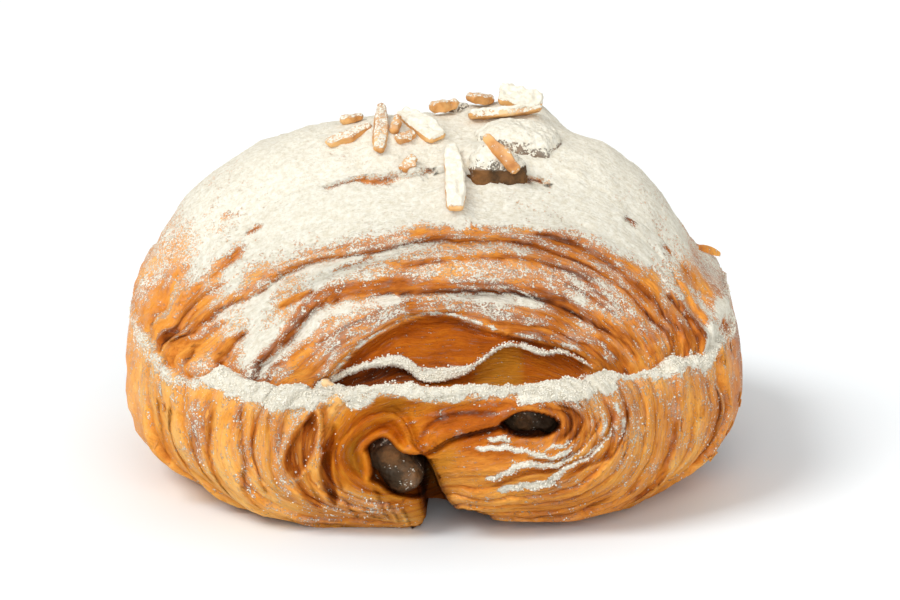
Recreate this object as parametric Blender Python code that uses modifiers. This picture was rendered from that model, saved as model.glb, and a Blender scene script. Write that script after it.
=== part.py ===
"""A double chocolate croissant: laminated dough rolled from both sides round two chocolate sticks.

The frame is +Z up, with the roll's axis along Y and its shown end at -Y. The origin is on the surface that the
croissant stands on, under the middle of its bounding box. All sizes are in metres.
"""

import math

import bmesh
import bpy
import numpy as np
from mathutils import Matrix, Vector
from mathutils.bvhtree import BVHTree

MM = 0.001

# The dough's driving sizes, before the ledge is folded into its face.
HALF_WIDTH = 58 * MM
HALF_DEPTH = 50 * MM
BELT_HEIGHT = 20 * MM
CROWN_RISE = 51 * MM
KEEL_DROP = 27 * MM
CROWN_POWER = 1.9
KEEL_POWER = 2.6
DRUM_ROUNDING = 2.75
DOME_ROUNDING = 2.0

# The ledge that runs round the dough, where the dome has risen out of the drum below it.
LEDGE_HEIGHT = 29.5 * MM
LEDGE_SIDE_CLIMB = 3 * MM
LEDGE_DEPTH = 5 * MM
LEDGE_FLATNESS = (0.95, 0.15)  # at the ends, at the sides
LEDGE_INSET = (0.10, 0.005)  # at the ends, at the sides
LEDGE_FADE_RADIUS = 18 * MM
FOLD_RADIUS = 0.7 * MM
LEDGE_WAVES = ((-21 * MM, -2.2 * MM, 7 * MM), (-6 * MM, 1.3 * MM, 5 * MM), (30 * MM, -0.8 * MM, 9 * MM))

# The two cores that the layers wrap round, and the seam between the rolls, in the end view.
CORE_LEFT = (-8 * MM, 14 * MM)
SEAM_TOP = (1 * MM, 18 * MM)
CORE_RIGHT = (18 * MM, 22 * MM)

# The layers: their edges as shares of the way from the cores to the outline.
LAYER_EDGES = (
    *(0.15, 0.20, 0.25, 0.295, 0.343, 0.39, 0.435, 0.475, 0.515),
    *(0.565, 0.63, 0.69, 0.735, 0.785, 0.83, 0.88, 0.93),
)
LAYER_COUNT = len(LAYER_EDGES) - 1
DOME_STEP = 1.5 * MM
CROWN_STEP = 0.5 * MM
RIB_RELIEF = 0.9 * MM
SIDE_RELIEF = 0.35 * MM
# Where the dough stands fuller: middle, spread and height.
BULGES = (
    ((-45 * MM, 0, 51 * MM), 21 * MM, 3.2 * MM),
    ((-56 * MM, -4 * MM, 40 * MM), 6 * MM, 1.8 * MM),
)

# The mesh: columns round the roll's axis, and rows from the front pole to the back one.
COLUMNS = 66
ROW_PHASES = (0.0, 0.52)
CORE_ROWS = 3
SIDE_ROWS = 3
# Where columns crowd together to follow the ledge: turn, spread and strength.
CROWDING = ((15, 6, 1.8), (165, 6, 1.8), (30, 12, 0.9), (150, 12, 0.9), (270, 50, -0.35))

# The chocolate sticks, with the channels that hold them.
GAP = 0.4 * MM
STICKS = {
    # name: middle of its section, its two widths and rounding, turn of its wide side, y of its two ends
    "chocolate_stick_left": ((-7.0, 13.8), (11.6, 7.4, 3.0), -54, (-47.5, 44)),
    "chocolate_stick_right": ((17.6, 21.7), (10.4, 5.2, 2.1), -7, (-43.5, 47)),
}

# The hollow that the left stick lies in at each end: middle and half sizes.
CAVITY_MIDDLE = (-8.5 * MM, 50 * MM, 14.2 * MM)
CAVITY_HALF_SIZE = (8.8 * MM, 9 * MM, 7.2 * MM)

# The notch under each end, where the two rolls part.
NOTCH_MIDDLE = (4.0 * MM, -2 * MM)
NOTCH_HALF_SIZE = (5.2 * MM, 14 * MM)
NOTCH_LEAN = 22
NOTCH_REACH = 30 * MM

# The split in the crown that the front chocolate lies in: middle and half sizes.
SPLIT_MIDDLE = (2.5 * MM, -21.0 * MM, 60.2 * MM)
SPLIT_HALF_SIZE = (17.5 * MM, 1.7 * MM, 4.5 * MM)

# The chocolate lumps on the crown: middle, half sizes, turn about Z, seed of the shape.
LUMPS = {
    "chocolate_chunk_front": ((11.2, -17.4, 60.6), (5.2, 3.8, 3.9), 8, 3),
    "chocolate_chunk_sugared": ((15.6, -7.2, 63.7), (7.8, 6.2, 4.7), -12, 5),
    "chocolate_chunk_back": ((15.0, 6.2, 63.2), (7.2, 5.0, 3.5), 10, 8),
    "chocolate_chunk_small": ((4.8, 5.8, 66.6), (2.2, 2.0, 2.2), 30, 11),
}

# The almond slivers, laid down one after the other: place in plan, length, width and thickness,
# turn about Z, and what is added to the rise and roll that they lie down with, in mm and degrees.
SLIVERS = {
    "almond_sliver_1": ((3.6, -22.0), (16.6, 3.8, 2.2), 93, 0, 4),
    "almond_sliver_2": ((-10.1, -9.0), (14.0, 2.8, 2.2), 88, 9, 25),
    "almond_sliver_3": ((-2.6, -6.6), (12.0, 4.6, 2.2), 128, 5, -10),
    "almond_sliver_4": ((-5.4, -10.6), (4.6, 2.6, 2.0), 35, 0, 20),
    "almond_sliver_5": ((-4.8, -18.2), (4.6, 2.6, 1.8), 50, 6, 10),
    "almond_sliver_6": ((-15.8, -8.5), (9.4, 2.8, 1.8), 22, 1, 8),
    "almond_sliver_7": ((-15.4, -1.0), (4.6, 2.4, 1.8), 10, 2, -6),
    "almond_sliver_8": ((13.2, -1.6), (14.0, 4.6, 2.0), 6, 9, 8),
    "almond_sliver_9": ((12.4, -20.2), (9.6, 2.8, 2.0), 146, 0, 10),
    "almond_sliver_10": ((1.8, 3.0), (5.8, 3.2, 2.8), 10, 6, 0),
    "almond_sliver_11": ((8.6, 6.4), (5.6, 3.4, 2.2), 28, 4, 20),
    "almond_sliver_12": ((16.2, 6.8), (8.6, 5.4, 2.2), -6, -2, 40),
    "almond_sliver_13": ((-7.1, -8.2), (5.0, 2.2, 1.8), 78, 10, -10),
}
SETTLED_GAP = 0.3 * MM

CRUST = (0.72, 0.38, 0.12)
CHOCOLATE = (0.07, 0.035, 0.02)
ALMOND = (0.80, 0.55, 0.28)


def clear_scene():
    for existing in list(bpy.data.objects):
        bpy.data.objects.remove(existing, do_unlink=True)


def new_collection(name):
    made = bpy.data.collections.new(name)
    bpy.context.scene.collection.children.link(made)
    return made


def new_material(name, colour, roughness):
    made = bpy.data.materials.new(name)
    made.use_nodes = True
    shader = made.node_tree.nodes["Principled BSDF"]
    shader.inputs["Base Color"].default_value = (*colour, 1)
    shader.inputs["Roughness"].default_value = roughness
    shader.inputs["Metallic"].default_value = 0
    return made


def smooth_step(low, high, value):
    share = np.clip((value - low) / (high - low), 0, 1)
    return share * share * (3 - 2 * share)


def soft_ramp(value, radius):
    """The larger of value and 0, with its corner rounded."""
    return 0.5 * (value + np.sqrt(value * value + radius * radius))


def outline_share(x, z):
    """How far a point of the end view lies out from the section's middle: 0 there and 1 on the outline."""
    above = z > BELT_HEIGHT
    power = np.where(above, CROWN_POWER, KEEL_POWER)
    height = np.where(above, CROWN_RISE, KEEL_DROP)
    wide = np.abs(x / HALF_WIDTH) ** power
    tall = np.abs((z - BELT_HEIGHT) / height) ** power
    return (wide + tall) ** (1 / power)


def distance_to_cores(x, z):
    """Distance in the end view to the bent line through both cores and the seam between them."""
    nearest = np.full(np.shape(x), np.inf)
    for start, end in ((CORE_LEFT, SEAM_TOP), (SEAM_TOP, CORE_RIGHT)):
        run = np.subtract(end, start)
        along = ((x - start[0]) * run[0] + (z - start[1]) * run[1]) / (run @ run)
        along = np.clip(along, 0, 1)
        away = np.hypot(x - start[0] - along * run[0], z - start[1] - along * run[1])
        nearest = np.minimum(nearest, away)
    return nearest


def wrap_share(x, z):
    """Which layer a point of the end view lies in: 0 at the cores and 1 on the outline."""
    inside = distance_to_cores(x, z)
    out = outline_share(x, z)
    middle = np.hypot(x, z - BELT_HEIGHT)
    outside = middle * (1 / np.maximum(out, 1e-6) - 1)
    return inside / np.maximum(inside + outside, 1e-9)


def row_shares():
    """The wrap share and layer coordinate of each row, from the pole to the outline."""
    edges = LAYER_EDGES
    shares = list(edges[0] * (np.arange(1, CORE_ROWS + 1) / (CORE_ROWS + 1)))
    layers = list(-1 + np.arange(1, CORE_ROWS + 1) / (CORE_ROWS + 1))
    for number in range(LAYER_COUNT):
        for phase in ROW_PHASES:
            shares.append(edges[number] + phase * (edges[number + 1] - edges[number]))
            layers.append(number + phase)
    for row in range(SIDE_ROWS + 1):
        left = 1 - row / SIDE_ROWS
        shares.append(1 - (1 - edges[-1]) * left * left)
        layers.append(LAYER_COUNT + 1 - left)
    return np.array([0, *shares]), np.array([-1, *layers])


def wander(turn, share, end):
    """How far a layer strays from its even place, so that no two run quite parallel."""
    phase = 2.0 * end
    waves = 0.010 * np.sin(3 * turn + 1.0 + 7 * share + phase)
    waves += 0.007 * np.sin(7 * turn + 2.0 - 11 * share + 1.7 * phase)
    waves += 0.004 * np.sin(13 * turn + 5.0 + 17 * share - phase)
    return waves * 4 * share * (1 - share)


def place_in_end_view(turn, share):
    """The point at this turn round the seam whose wrap share is share, found by halving."""
    near = np.zeros(np.shape(share))
    far = np.full(np.shape(share), 2 * HALF_WIDTH)
    for _ in range(36):
        reach = (near + far) / 2
        x = SEAM_TOP[0] + reach * np.cos(turn)
        z = SEAM_TOP[1] + reach * np.sin(turn)
        beyond = (wrap_share(x, z) > share) | (outline_share(x, z) > 1)
        near = np.where(beyond, near, reach)
        far = np.where(beyond, reach, far)
    reach = (near + far) / 2
    return SEAM_TOP[0] + reach * np.cos(turn), SEAM_TOP[1] + reach * np.sin(turn)


def ledge_height(x, y, end):
    """Height of the ledge's rim, which waves a little along the ends and climbs at the sides."""
    across = x / np.maximum(np.hypot(x, y), 1e-6)
    height = LEDGE_HEIGHT + LEDGE_SIDE_CLIMB * smooth_step(0.75, 1.0, np.abs(across))
    for middle, rise, width in LEDGE_WAVES:
        height = height + rise * np.exp(-(((x + end * middle) / width) ** 2)) * (1 - across**2)
    return height


def bare_surface(x, z, end):
    """The smooth form: a point of the end view is set on the rounded face, and the ledge is folded in."""
    out = np.clip(outline_share(x, z), 0, 1)
    rounding = DRUM_ROUNDING + (DOME_ROUNDING - DRUM_ROUNDING) * smooth_step(30 * MM, 50 * MM, z)
    y = end * HALF_DEPTH * (1 - out**rounding) ** (1 / rounding)
    side = x * x / (x * x + y * y + LEDGE_FADE_RADIUS**2)
    above = z - ledge_height(x, y, end)
    step = soft_ramp(above, FOLD_RADIUS) - soft_ramp(above - LEDGE_DEPTH, FOLD_RADIUS)
    flatness = LEDGE_FLATNESS[0] + (LEDGE_FLATNESS[1] - LEDGE_FLATNESS[0]) * side
    inset = LEDGE_INSET[0] + (LEDGE_INSET[1] - LEDGE_INSET[0]) * side
    keep = 1 - inset * step / LEDGE_DEPTH
    return x * keep, y * keep, z - flatness * step


def layer_relief(x, z, layer, turn, end):
    """How far the layers stand out of the smooth form: steps on the dome, ribs below the ledge."""
    number = np.floor(layer)
    phase = layer - number
    strength = 0.75 + 0.25 * np.sin(2.3 * number + 2 * turn + end)
    on_dome = smooth_step(33 * MM, 38 * MM, z)
    on_crown = smooth_step(57 * MM, 63 * MM, z)
    lip = ROW_PHASES[-1]
    step = np.minimum(phase / lip, (1 - phase) / (1 - lip))
    pair = layer / 2 - np.floor(layer / 2)
    rib = 1 - np.abs(2 * pair - 1) ** 2.5
    dome = (DOME_STEP + (CROWN_STEP - DOME_STEP) * on_crown) * step
    drum = RIB_RELIEF * rib * (0.55 + 0.45 * smooth_step(20 * MM, -20 * MM, x))
    relief = strength * (dome * on_dome + drum * (1 - on_dome))
    cored = smooth_step(-0.5, 0.5, layer)
    side = smooth_step(LAYER_COUNT - 0.5, LAYER_COUNT + 0.3, layer)
    return relief * cored * (1 - side) + SIDE_RELIEF * side * np.sin(9 * turn + 2 * end)


def hollow(x, z, middle, half_width, half_height, depth):
    """A rounded hollow in the end face, as a depth into the dough."""
    away = np.hypot((x - middle[0]) / half_width, (z - middle[1]) / half_height)
    return depth * (1 - smooth_step(0.35, 1.0, away))


def column_turns():
    """The turn of each column, closer together where the ledge needs them."""
    fine = np.arange(0, 360, 0.25)
    density = np.ones_like(fine)
    for middle, spread, strength in CROWDING:
        away = (fine - middle + 180) % 360 - 180
        density += strength * np.exp(-((away / spread) ** 2))
    travelled = np.concatenate([[0], np.cumsum(density)])
    wanted = travelled[-1] * np.arange(COLUMNS) / COLUMNS
    return np.radians(np.interp(wanted, travelled, np.append(fine, 360)))


def dough_points(turn, row_share, row_layer, end):
    """The dough's surface on a grid of turns and rows, at one end of the roll."""
    turns, shares = np.meshgrid(turn, row_share)
    layers = np.repeat(row_layer[:, None], len(turn), axis=1)
    shares = np.clip(shares + wander(turns, shares, end), 0, 1)
    x, z = place_in_end_view(turns, shares)
    px, py, pz = bare_surface(x, z, end)
    points = np.stack([px, py, pz], axis=-1)
    normals = surface_normals(points, turn, end)
    relief = layer_relief(x, z, layers, turns, end)
    for middle, spread, height in BULGES:
        away = np.sum((points - middle) ** 2, axis=-1) / spread**2
        relief = relief + height * np.exp(-away)
    points += normals * relief[..., None]
    into = hollow(x, z, CORE_LEFT, 11 * MM, 8.5 * MM, 2.5 * MM)
    into = into + hollow(x, z, CORE_RIGHT, 9 * MM, 5 * MM, 1.5 * MM)
    into = into + hollow(x, z, (1 * MM, 38 * MM), 24 * MM, 4 * MM, 2.5 * MM)
    points[..., 1] -= end * into
    points[..., 2] = np.maximum(points[..., 2], 0)
    return points


def surface_normals(points, turn, end):
    """Outward normals of the smooth form, from its rows and columns."""
    down = np.gradient(points, axis=0)
    around = np.roll(points, -1, axis=1) - np.roll(points, 1, axis=1)
    normals = np.cross(around, down) * -end
    normals[0] = (0, end, 0)
    length = np.linalg.norm(normals, axis=-1, keepdims=True)
    normals /= np.maximum(length, 1e-12)
    outward = np.sum(normals * (points - (0, 0, BELT_HEIGHT)), axis=-1, keepdims=True)
    return np.where(outward < 0, -normals, normals)


def make_dough(collection, material):
    """A sphere primitive with its poles on the roll's axis, whose rows and columns follow the layers."""
    share, layer = row_shares()
    rows = len(share) - 1
    turn = column_turns()
    front = dough_points(turn, share, layer, -1)
    back = dough_points(turn, share, layer, 1)
    rim = (front[-1] + back[-1]) / 2
    front[-1] = rim
    grid = np.concatenate([front, back[-2::-1]])
    shift = (grid.reshape(-1, 3).max(axis=0) + grid.reshape(-1, 3).min(axis=0)) / 2
    grid[..., :2] -= shift[:2]

    mesh = bpy.data.meshes.new("dough")
    shaped = bmesh.new()
    bmesh.ops.create_uvsphere(shaped, u_segments=COLUMNS, v_segments=2 * rows, radius=1)
    bmesh.ops.rotate(shaped, verts=shaped.verts, matrix=Matrix.Rotation(math.radians(90), 3, "X"))
    for vertex in shaped.verts:
        x, y, z = vertex.co
        row = round(math.acos(max(-1.0, min(1.0, -y))) / math.pi * 2 * rows)
        column = round(math.atan2(z, x) / (2 * math.pi) * COLUMNS) % COLUMNS
        vertex.co = grid[row, column]
    bmesh.ops.triangulate(shaped, faces=shaped.faces)
    bmesh.ops.recalc_face_normals(shaped, faces=shaped.faces)
    shaped.to_mesh(mesh)
    shaped.free()
    mesh.shade_smooth()
    mesh.set_sharp_from_angle(angle=math.radians(35))
    mesh.materials.append(material)
    dough = bpy.data.objects.new("pastry", mesh)
    collection.objects.link(dough)
    return dough


def rounded_bar(name, collection, size, rounding, material):
    """A bar along Y with its edges rounded, from a box primitive; sizes in mm."""
    bpy.ops.mesh.primitive_cube_add(size=1)
    bar = bpy.context.object
    bar.name = name
    bar.data.name = name
    bar.scale = Vector(size) * MM
    bpy.ops.object.transform_apply(scale=True)
    bevel = bar.modifiers.new("rounding", "BEVEL")
    bevel.width = rounding * MM
    bevel.segments = 4
    bar.data.shade_smooth()
    bar.data.set_sharp_from_angle(angle=math.radians(35))
    bar.data.materials.append(material)
    move_to(collection, bar)
    return bar


def move_to(collection, made):
    for holder in list(made.users_collection):
        holder.objects.unlink(made)
    collection.objects.link(made)


def helper(tool):
    """Marks an object as a cutter, which is no part of the croissant."""
    tool.hide_render = True
    tool.display_type = "WIRE"
    return tool


def cut(target, tool):
    modifier = target.modifiers.new(tool.name, "BOOLEAN")
    modifier.operation = "DIFFERENCE"
    modifier.object = tool


def make_sticks(parts, cutters, dough, material):
    """Each stick lies in a channel that runs through the dough from end to end."""
    for name, (middle, (wide, thick, rounding), turn, (front, back)) in STICKS.items():
        label = name.replace("stick", "channel")
        gap = 2 * GAP / MM
        stick = rounded_bar(name, parts, (wide, back - front, thick), rounding, material)
        channel = rounded_bar(label, cutters, (wide + gap, 120, thick + gap), rounding, material)
        for placed, y in ((stick, (front + back) / 2), (channel, 0)):
            placed.location = Vector((middle[0], y, middle[1])) * MM
            placed.rotation_euler = (0, math.radians(-turn), 0)
        cut(dough, helper(channel))


def ball_cutter(name, cutters, middle, half_size, segments=20, rings=12):
    """An ellipsoid cutter from a sphere primitive."""
    bpy.ops.mesh.primitive_uv_sphere_add(segments=segments, ring_count=rings, radius=1)
    ball = bpy.context.object
    ball.name = name
    ball.scale = half_size
    ball.location = middle
    move_to(cutters, ball)
    return helper(ball)


def make_hollows(cutters, dough):
    """The left stick's hollow and the notch under each end, and the split in the crown."""
    for side, end in (("front", -1), ("back", 1)):
        x, y, z = CAVITY_MIDDLE
        cut(dough, ball_cutter("cavity_" + side, cutters, (x, end * y, z), CAVITY_HALF_SIZE))
        bpy.ops.mesh.primitive_cone_add(vertices=20, radius1=1, radius2=0.12, depth=2)
        notch = bpy.context.object
        notch.name = "notch_" + side
        notch.scale = (*NOTCH_HALF_SIZE, NOTCH_REACH / 2)
        notch.rotation_euler = (math.radians(90 * end), math.radians(-NOTCH_LEAN), 0)
        outward = end * (HALF_DEPTH + 2 * MM - NOTCH_REACH / 2)
        notch.location = (NOTCH_MIDDLE[0], outward, NOTCH_MIDDLE[1])
        move_to(cutters, notch)
        cut(dough, helper(notch))
    cut(dough, ball_cutter("split", cutters, SPLIT_MIDDLE, SPLIT_HALF_SIZE))


def lump_mesh(name, half_size, seed, segments=14, rings=9):
    """A worn lump from a sphere primitive, with low random swellings."""
    chance = np.random.default_rng(seed)
    waves = chance.normal(size=(5, 3)) * 1.6
    phases = chance.uniform(0, 2 * math.pi, 5)
    shaped = bmesh.new()
    bmesh.ops.create_uvsphere(shaped, u_segments=segments, v_segments=rings, radius=1)
    for vertex in shaped.verts:
        way = np.array(vertex.co)
        boxed = way / np.sum(np.abs(way) ** 3) ** (1 / 3)
        swelling = 1 + 0.045 * np.sin(waves @ way + phases).sum()
        vertex.co = Vector(boxed * swelling * half_size)
    mesh = bpy.data.meshes.new(name)
    shaped.to_mesh(mesh)
    shaped.free()
    return mesh


def make_lumps(parts, cutters, dough, material):
    """The chocolate lumps, each in a nest cut out of the crown."""
    placed = []
    for name, (middle, half_size, turn, seed) in LUMPS.items():
        for nest in (False, True):
            grow = GAP / MM if nest else 0
            size = (np.array(half_size) + grow) * MM
            label = "nest_" + name if nest else name
            lump = bpy.data.objects.new(label, lump_mesh(label, size, seed))
            lump.location = Vector(middle) * MM
            lump.rotation_euler = (0, 0, math.radians(turn))
            if nest:
                cutters.objects.link(lump)
                cut(dough, helper(lump))
            else:
                parts.objects.link(lump)
                lump.data.materials.append(material)
                lump.data.shade_smooth()
                placed.append(lump)
    return placed


def sliver_mesh(name, length, width, thickness):
    """A bent bar with bevelled edges and tapered ends, from a box primitive."""
    shaped = bmesh.new()
    bmesh.ops.create_cube(shaped, size=2)
    lengthwise = [edge for edge in shaped.edges if abs(edge.verts[0].co.x - edge.verts[1].co.x) > 1]
    bmesh.ops.subdivide_edges(shaped, edges=lengthwise, cuts=3, use_grid_fill=True)
    for vertex in shaped.verts:
        x, y, z = vertex.co
        taper = 1 - 0.30 * abs(x) ** 3 - 0.10 * x
        y = y * taper * width / 2 + 0.10 * width * (x * x - 0.5)
        z = z * taper * thickness / 2 + 0.10 * thickness * x * x
        vertex.co = (x * length / 2, y, z)
    sharp = [edge for edge in shaped.edges if edge.calc_face_angle(0) > 0.9]
    bmesh.ops.bevel(shaped, geom=sharp, offset=0.25 * thickness, segments=1, affect="EDGES")
    mesh = bpy.data.meshes.new(name)
    shaped.to_mesh(mesh)
    shaped.free()
    return mesh


def world_mesh(piece):
    points = [piece.matrix_world @ vertex.co for vertex in piece.data.vertices]
    faces = [tuple(face.vertices) for face in piece.data.polygons]
    return points, BVHTree.FromPolygons(points, faces)


def settle(piece, below):
    """Lowers a piece until it is a gap above what lies below it."""
    points, tree = world_mesh(piece)
    fall = math.inf
    down = Vector((0, 0, -1))
    for other_points, other_tree in below:
        for point in points:
            hit = other_tree.ray_cast(point, down)
            if hit[0] is not None:
                fall = min(fall, hit[3])
        for point in other_points:
            hit = tree.ray_cast(point, -down)
            if hit[0] is not None:
                fall = min(fall, hit[3])
    piece.location.z -= fall - SETTLED_GAP


def support(below, x, y):
    """Height of the highest surface at a place in plan."""
    hits = [tree.ray_cast(Vector((x, y, 0.2)), Vector((0, 0, -1)))[0] for _, tree in below]
    return max(hit.z for hit in hits if hit is not None)


def slope(below, place, turn, reach):
    """Rise in radians from one side of a place to the other, along a turn about Z."""
    step = Vector((math.cos(turn), math.sin(turn))) * reach
    far = support(below, place.x + step.x, place.y + step.y)
    near = support(below, place.x - step.x, place.y - step.y)
    return math.atan2(far - near, 2 * reach)


def make_slivers(parts, dough, lumps, material):
    """The almond slivers, each laid on the crown and on the pieces laid before it."""
    below = [world_mesh(piece) for piece in (dough, *lumps)]
    for name, (place, (length, width, thickness), turn, more_rise, more_roll) in SLIVERS.items():
        sliver = bpy.data.objects.new(name, sliver_mesh(name, length * MM, width * MM, thickness * MM))
        parts.objects.link(sliver)
        sliver.data.materials.append(material)
        sliver.data.shade_smooth()
        place = Vector(place) * MM
        turn = math.radians(turn)
        rise = slope(below, place, turn, 0.4 * length * MM) + math.radians(more_rise)
        roll = slope(below, place, turn + math.pi / 2, 0.4 * width * MM) + math.radians(more_roll)
        tilt = Matrix.Rotation(-rise, 4, "Y") @ Matrix.Rotation(roll, 4, "X")
        spot = Matrix.Translation((place.x, place.y, 0.1))
        sliver.matrix_world = spot @ Matrix.Rotation(turn, 4, "Z") @ tilt
        settle(sliver, below)
        bpy.context.view_layer.update()
        below.append(world_mesh(sliver))


def main():
    clear_scene()
    parts = new_collection("double_chocolate_croissant")
    cutters = new_collection("cutters")
    crust = new_material("crust", CRUST, 0.55)
    chocolate = new_material("chocolate", CHOCOLATE, 0.45)
    almond = new_material("almond", ALMOND, 0.6)
    dough = make_dough(parts, crust)
    make_sticks(parts, cutters, dough, chocolate)
    make_hollows(cutters, dough)
    lumps = make_lumps(parts, cutters, dough, chocolate)
    bpy.context.view_layer.update()
    make_slivers(parts, dough, lumps, almond)


main()
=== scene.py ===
# %% [markdown]
# # A double chocolate croissant
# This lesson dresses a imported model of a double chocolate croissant: laminated dough, rolled from both sides
# round two chocolate sticks, baked, topped with chocolate and slivered almonds, and dusted with icing sugar.
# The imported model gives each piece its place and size. Here each gets the surface that a baker would know:
# torn layers, browned edges, and sugar only where it can settle.

import math
from types import SimpleNamespace
import bmesh
import bpy
import numpy as np
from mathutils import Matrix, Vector
from mathutils.bvhtree import BVHTree


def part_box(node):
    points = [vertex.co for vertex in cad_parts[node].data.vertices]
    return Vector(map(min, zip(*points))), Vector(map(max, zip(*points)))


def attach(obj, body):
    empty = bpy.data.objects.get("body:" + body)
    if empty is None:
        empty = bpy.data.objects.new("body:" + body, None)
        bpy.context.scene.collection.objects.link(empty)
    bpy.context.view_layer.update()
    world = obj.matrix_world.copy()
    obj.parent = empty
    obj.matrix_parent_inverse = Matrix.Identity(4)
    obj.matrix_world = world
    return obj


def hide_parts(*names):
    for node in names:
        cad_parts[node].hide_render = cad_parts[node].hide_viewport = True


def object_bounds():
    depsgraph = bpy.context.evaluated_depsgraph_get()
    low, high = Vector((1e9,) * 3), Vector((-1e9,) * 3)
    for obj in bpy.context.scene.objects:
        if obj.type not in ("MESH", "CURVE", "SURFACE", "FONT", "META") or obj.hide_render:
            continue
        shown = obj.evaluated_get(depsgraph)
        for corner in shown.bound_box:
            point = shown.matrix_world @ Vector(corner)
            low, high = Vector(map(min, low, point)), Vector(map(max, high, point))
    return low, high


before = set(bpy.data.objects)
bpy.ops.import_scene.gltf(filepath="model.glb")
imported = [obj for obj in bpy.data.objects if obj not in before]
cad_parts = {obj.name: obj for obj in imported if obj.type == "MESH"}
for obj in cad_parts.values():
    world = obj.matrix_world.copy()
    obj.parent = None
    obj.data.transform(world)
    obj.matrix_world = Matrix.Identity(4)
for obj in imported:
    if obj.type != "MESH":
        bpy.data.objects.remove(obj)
bpy.context.view_layer.update()
CAD_BOX = [[float(value) for value in corner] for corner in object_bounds()]
MM = 0.001
CAD_BOX_MM = [[round(value / MM, 1) for value in corner] for corner in CAD_BOX]
print("nodes:", len(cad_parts), "box in mm:", CAD_BOX_MM)

# %% [markdown]
# ## The dough's sizes
# The loaf is a fat roll that lies on its side, with its end face towards us. Its outline is a superellipse,
# a circle that has been squared up a little. A ledge runs round it, where the dome tore free of the drum
# below it in the oven. The sizes are those of the solid model, so the dressed dough sits exactly on it.

# %% Sizes of the roll, the ledge and the cores
HALF_WIDTH = 58 * MM
HALF_DEPTH = 50 * MM
BELT_HEIGHT = 20 * MM
CROWN_RISE = 51 * MM
KEEL_DROP = 27 * MM
CROWN_POWER = 1.9
KEEL_POWER = 2.6
DRUM_ROUNDING = 2.75
DOME_ROUNDING = 2.0

LEDGE_HEIGHT = 29.5 * MM
LEDGE_SIDE_CLIMB = 3 * MM
LEDGE_DEPTH = 5 * MM
LEDGE_FLATNESS = (0.95, 0.15)  # at the ends, at the sides
LEDGE_INSET = (0.1, 0.005)  # at the ends, at the sides
LEDGE_FADE_RADIUS = 18 * MM
FOLD_RADIUS = 0.7 * MM
LEDGE_WAVES = ((-21 * MM, -2.2 * MM, 7 * MM), (-6 * MM, 1.3 * MM, 5 * MM), (30 * MM, -0.8 * MM, 9 * MM))

CORE_LEFT = (-8 * MM, 14 * MM)
SEAM_TOP = (1 * MM, 18 * MM)
CORE_RIGHT = (18 * MM, 22 * MM)
BULGES = (  # middle, spread and height in mm; the last five are where the dough has sunk a little
    ((-4, -3, 71), 9, 1.5),
    ((9.5, -15.5, 64.5), 4.2, 3.4),  # sugar heaped against the chocolate
    ((-45, 0, 51), 21, 3.2),
    ((-56, -4, 40), 6, 1.8),
    ((-55, -6, 44), 9, 1.6),
    ((33, -6, 61), 19, 2.2),
    ((-27, -4, 65), 13, 0.9),
    ((-45, -28, 0), 13, -2.6),
    ((48, -29, -1), 14, -3.4),
    ((-47, 26, 1), 15, -2.4),
    ((49, 26, 2), 17, -3.0),
    ((55, 2, 42), 11, -3.4),
)
DOUGH_HEIGHT = BELT_HEIGHT + CROWN_RISE
print("the dough is", round(2 * HALF_WIDTH / MM), "mm wide and", round(DOUGH_HEIGHT / MM), "mm high")

# %% [markdown]
# ## The smooth form
# Before any layer is torn, the dough is a smooth form. One function says how far out a place of the end view
# lies, and another sets that place on the rounded face and folds in the ledge. Such functions keep every
# later detail on the surface.

# %% Functions of the smooth form
def ease(low, high, value):
    share = np.clip((value - low) / (high - low), 0, 1)
    return share * share * (3 - 2 * share)


def bell(value, width):
    """1 at 0, and next to nothing two widths away from it."""
    return np.exp(-((value / width) ** 2))


def soft_ramp(value, radius):
    """The larger of value and 0, with its corner rounded."""
    return 0.5 * (value + np.sqrt(value * value + radius * radius))


def outline_share(x, z):
    """How far a point of the end view lies out from the section's middle: 0 there and 1 on the outline."""
    above = z > BELT_HEIGHT
    power = np.where(above, CROWN_POWER, KEEL_POWER)
    height = np.where(above, CROWN_RISE, KEEL_DROP)
    return (np.abs(x / HALF_WIDTH) ** power + np.abs((z - BELT_HEIGHT) / height) ** power) ** (1 / power)


def distance_to_cores(x, z):
    """Distance in the end view to the bent line through both cores and the seam between them."""
    nearest = np.full(np.shape(x), np.inf)
    for start, end in ((CORE_LEFT, SEAM_TOP), (SEAM_TOP, CORE_RIGHT)):
        run = np.subtract(end, start)
        along = np.clip(((x - start[0]) * run[0] + (z - start[1]) * run[1]) / (run @ run), 0, 1)
        nearest = np.minimum(nearest, np.hypot(x - start[0] - along * run[0], z - start[1] - along * run[1]))
    return nearest


def wrap_share(x, z):
    """Which layer a point of the end view lies in: 0 at the cores and 1 on the outline."""
    inside = distance_to_cores(x, z)
    outside = np.hypot(x, z - BELT_HEIGHT) * (1 / np.maximum(outline_share(x, z), 1e-6) - 1)
    return inside / np.maximum(inside + outside, 1e-9)


def ledge_height(x, y, end):
    """Height of the ledge's rim, which waves a little along the ends and climbs at the sides."""
    across = x / np.maximum(np.hypot(x, y), 1e-6)
    height = LEDGE_HEIGHT + LEDGE_SIDE_CLIMB * ease(0.75, 1, np.abs(across))
    for middle, rise, width in LEDGE_WAVES:
        height = height + rise * bell(x + end * middle, width) * (1 - across**2)
    return height


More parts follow.
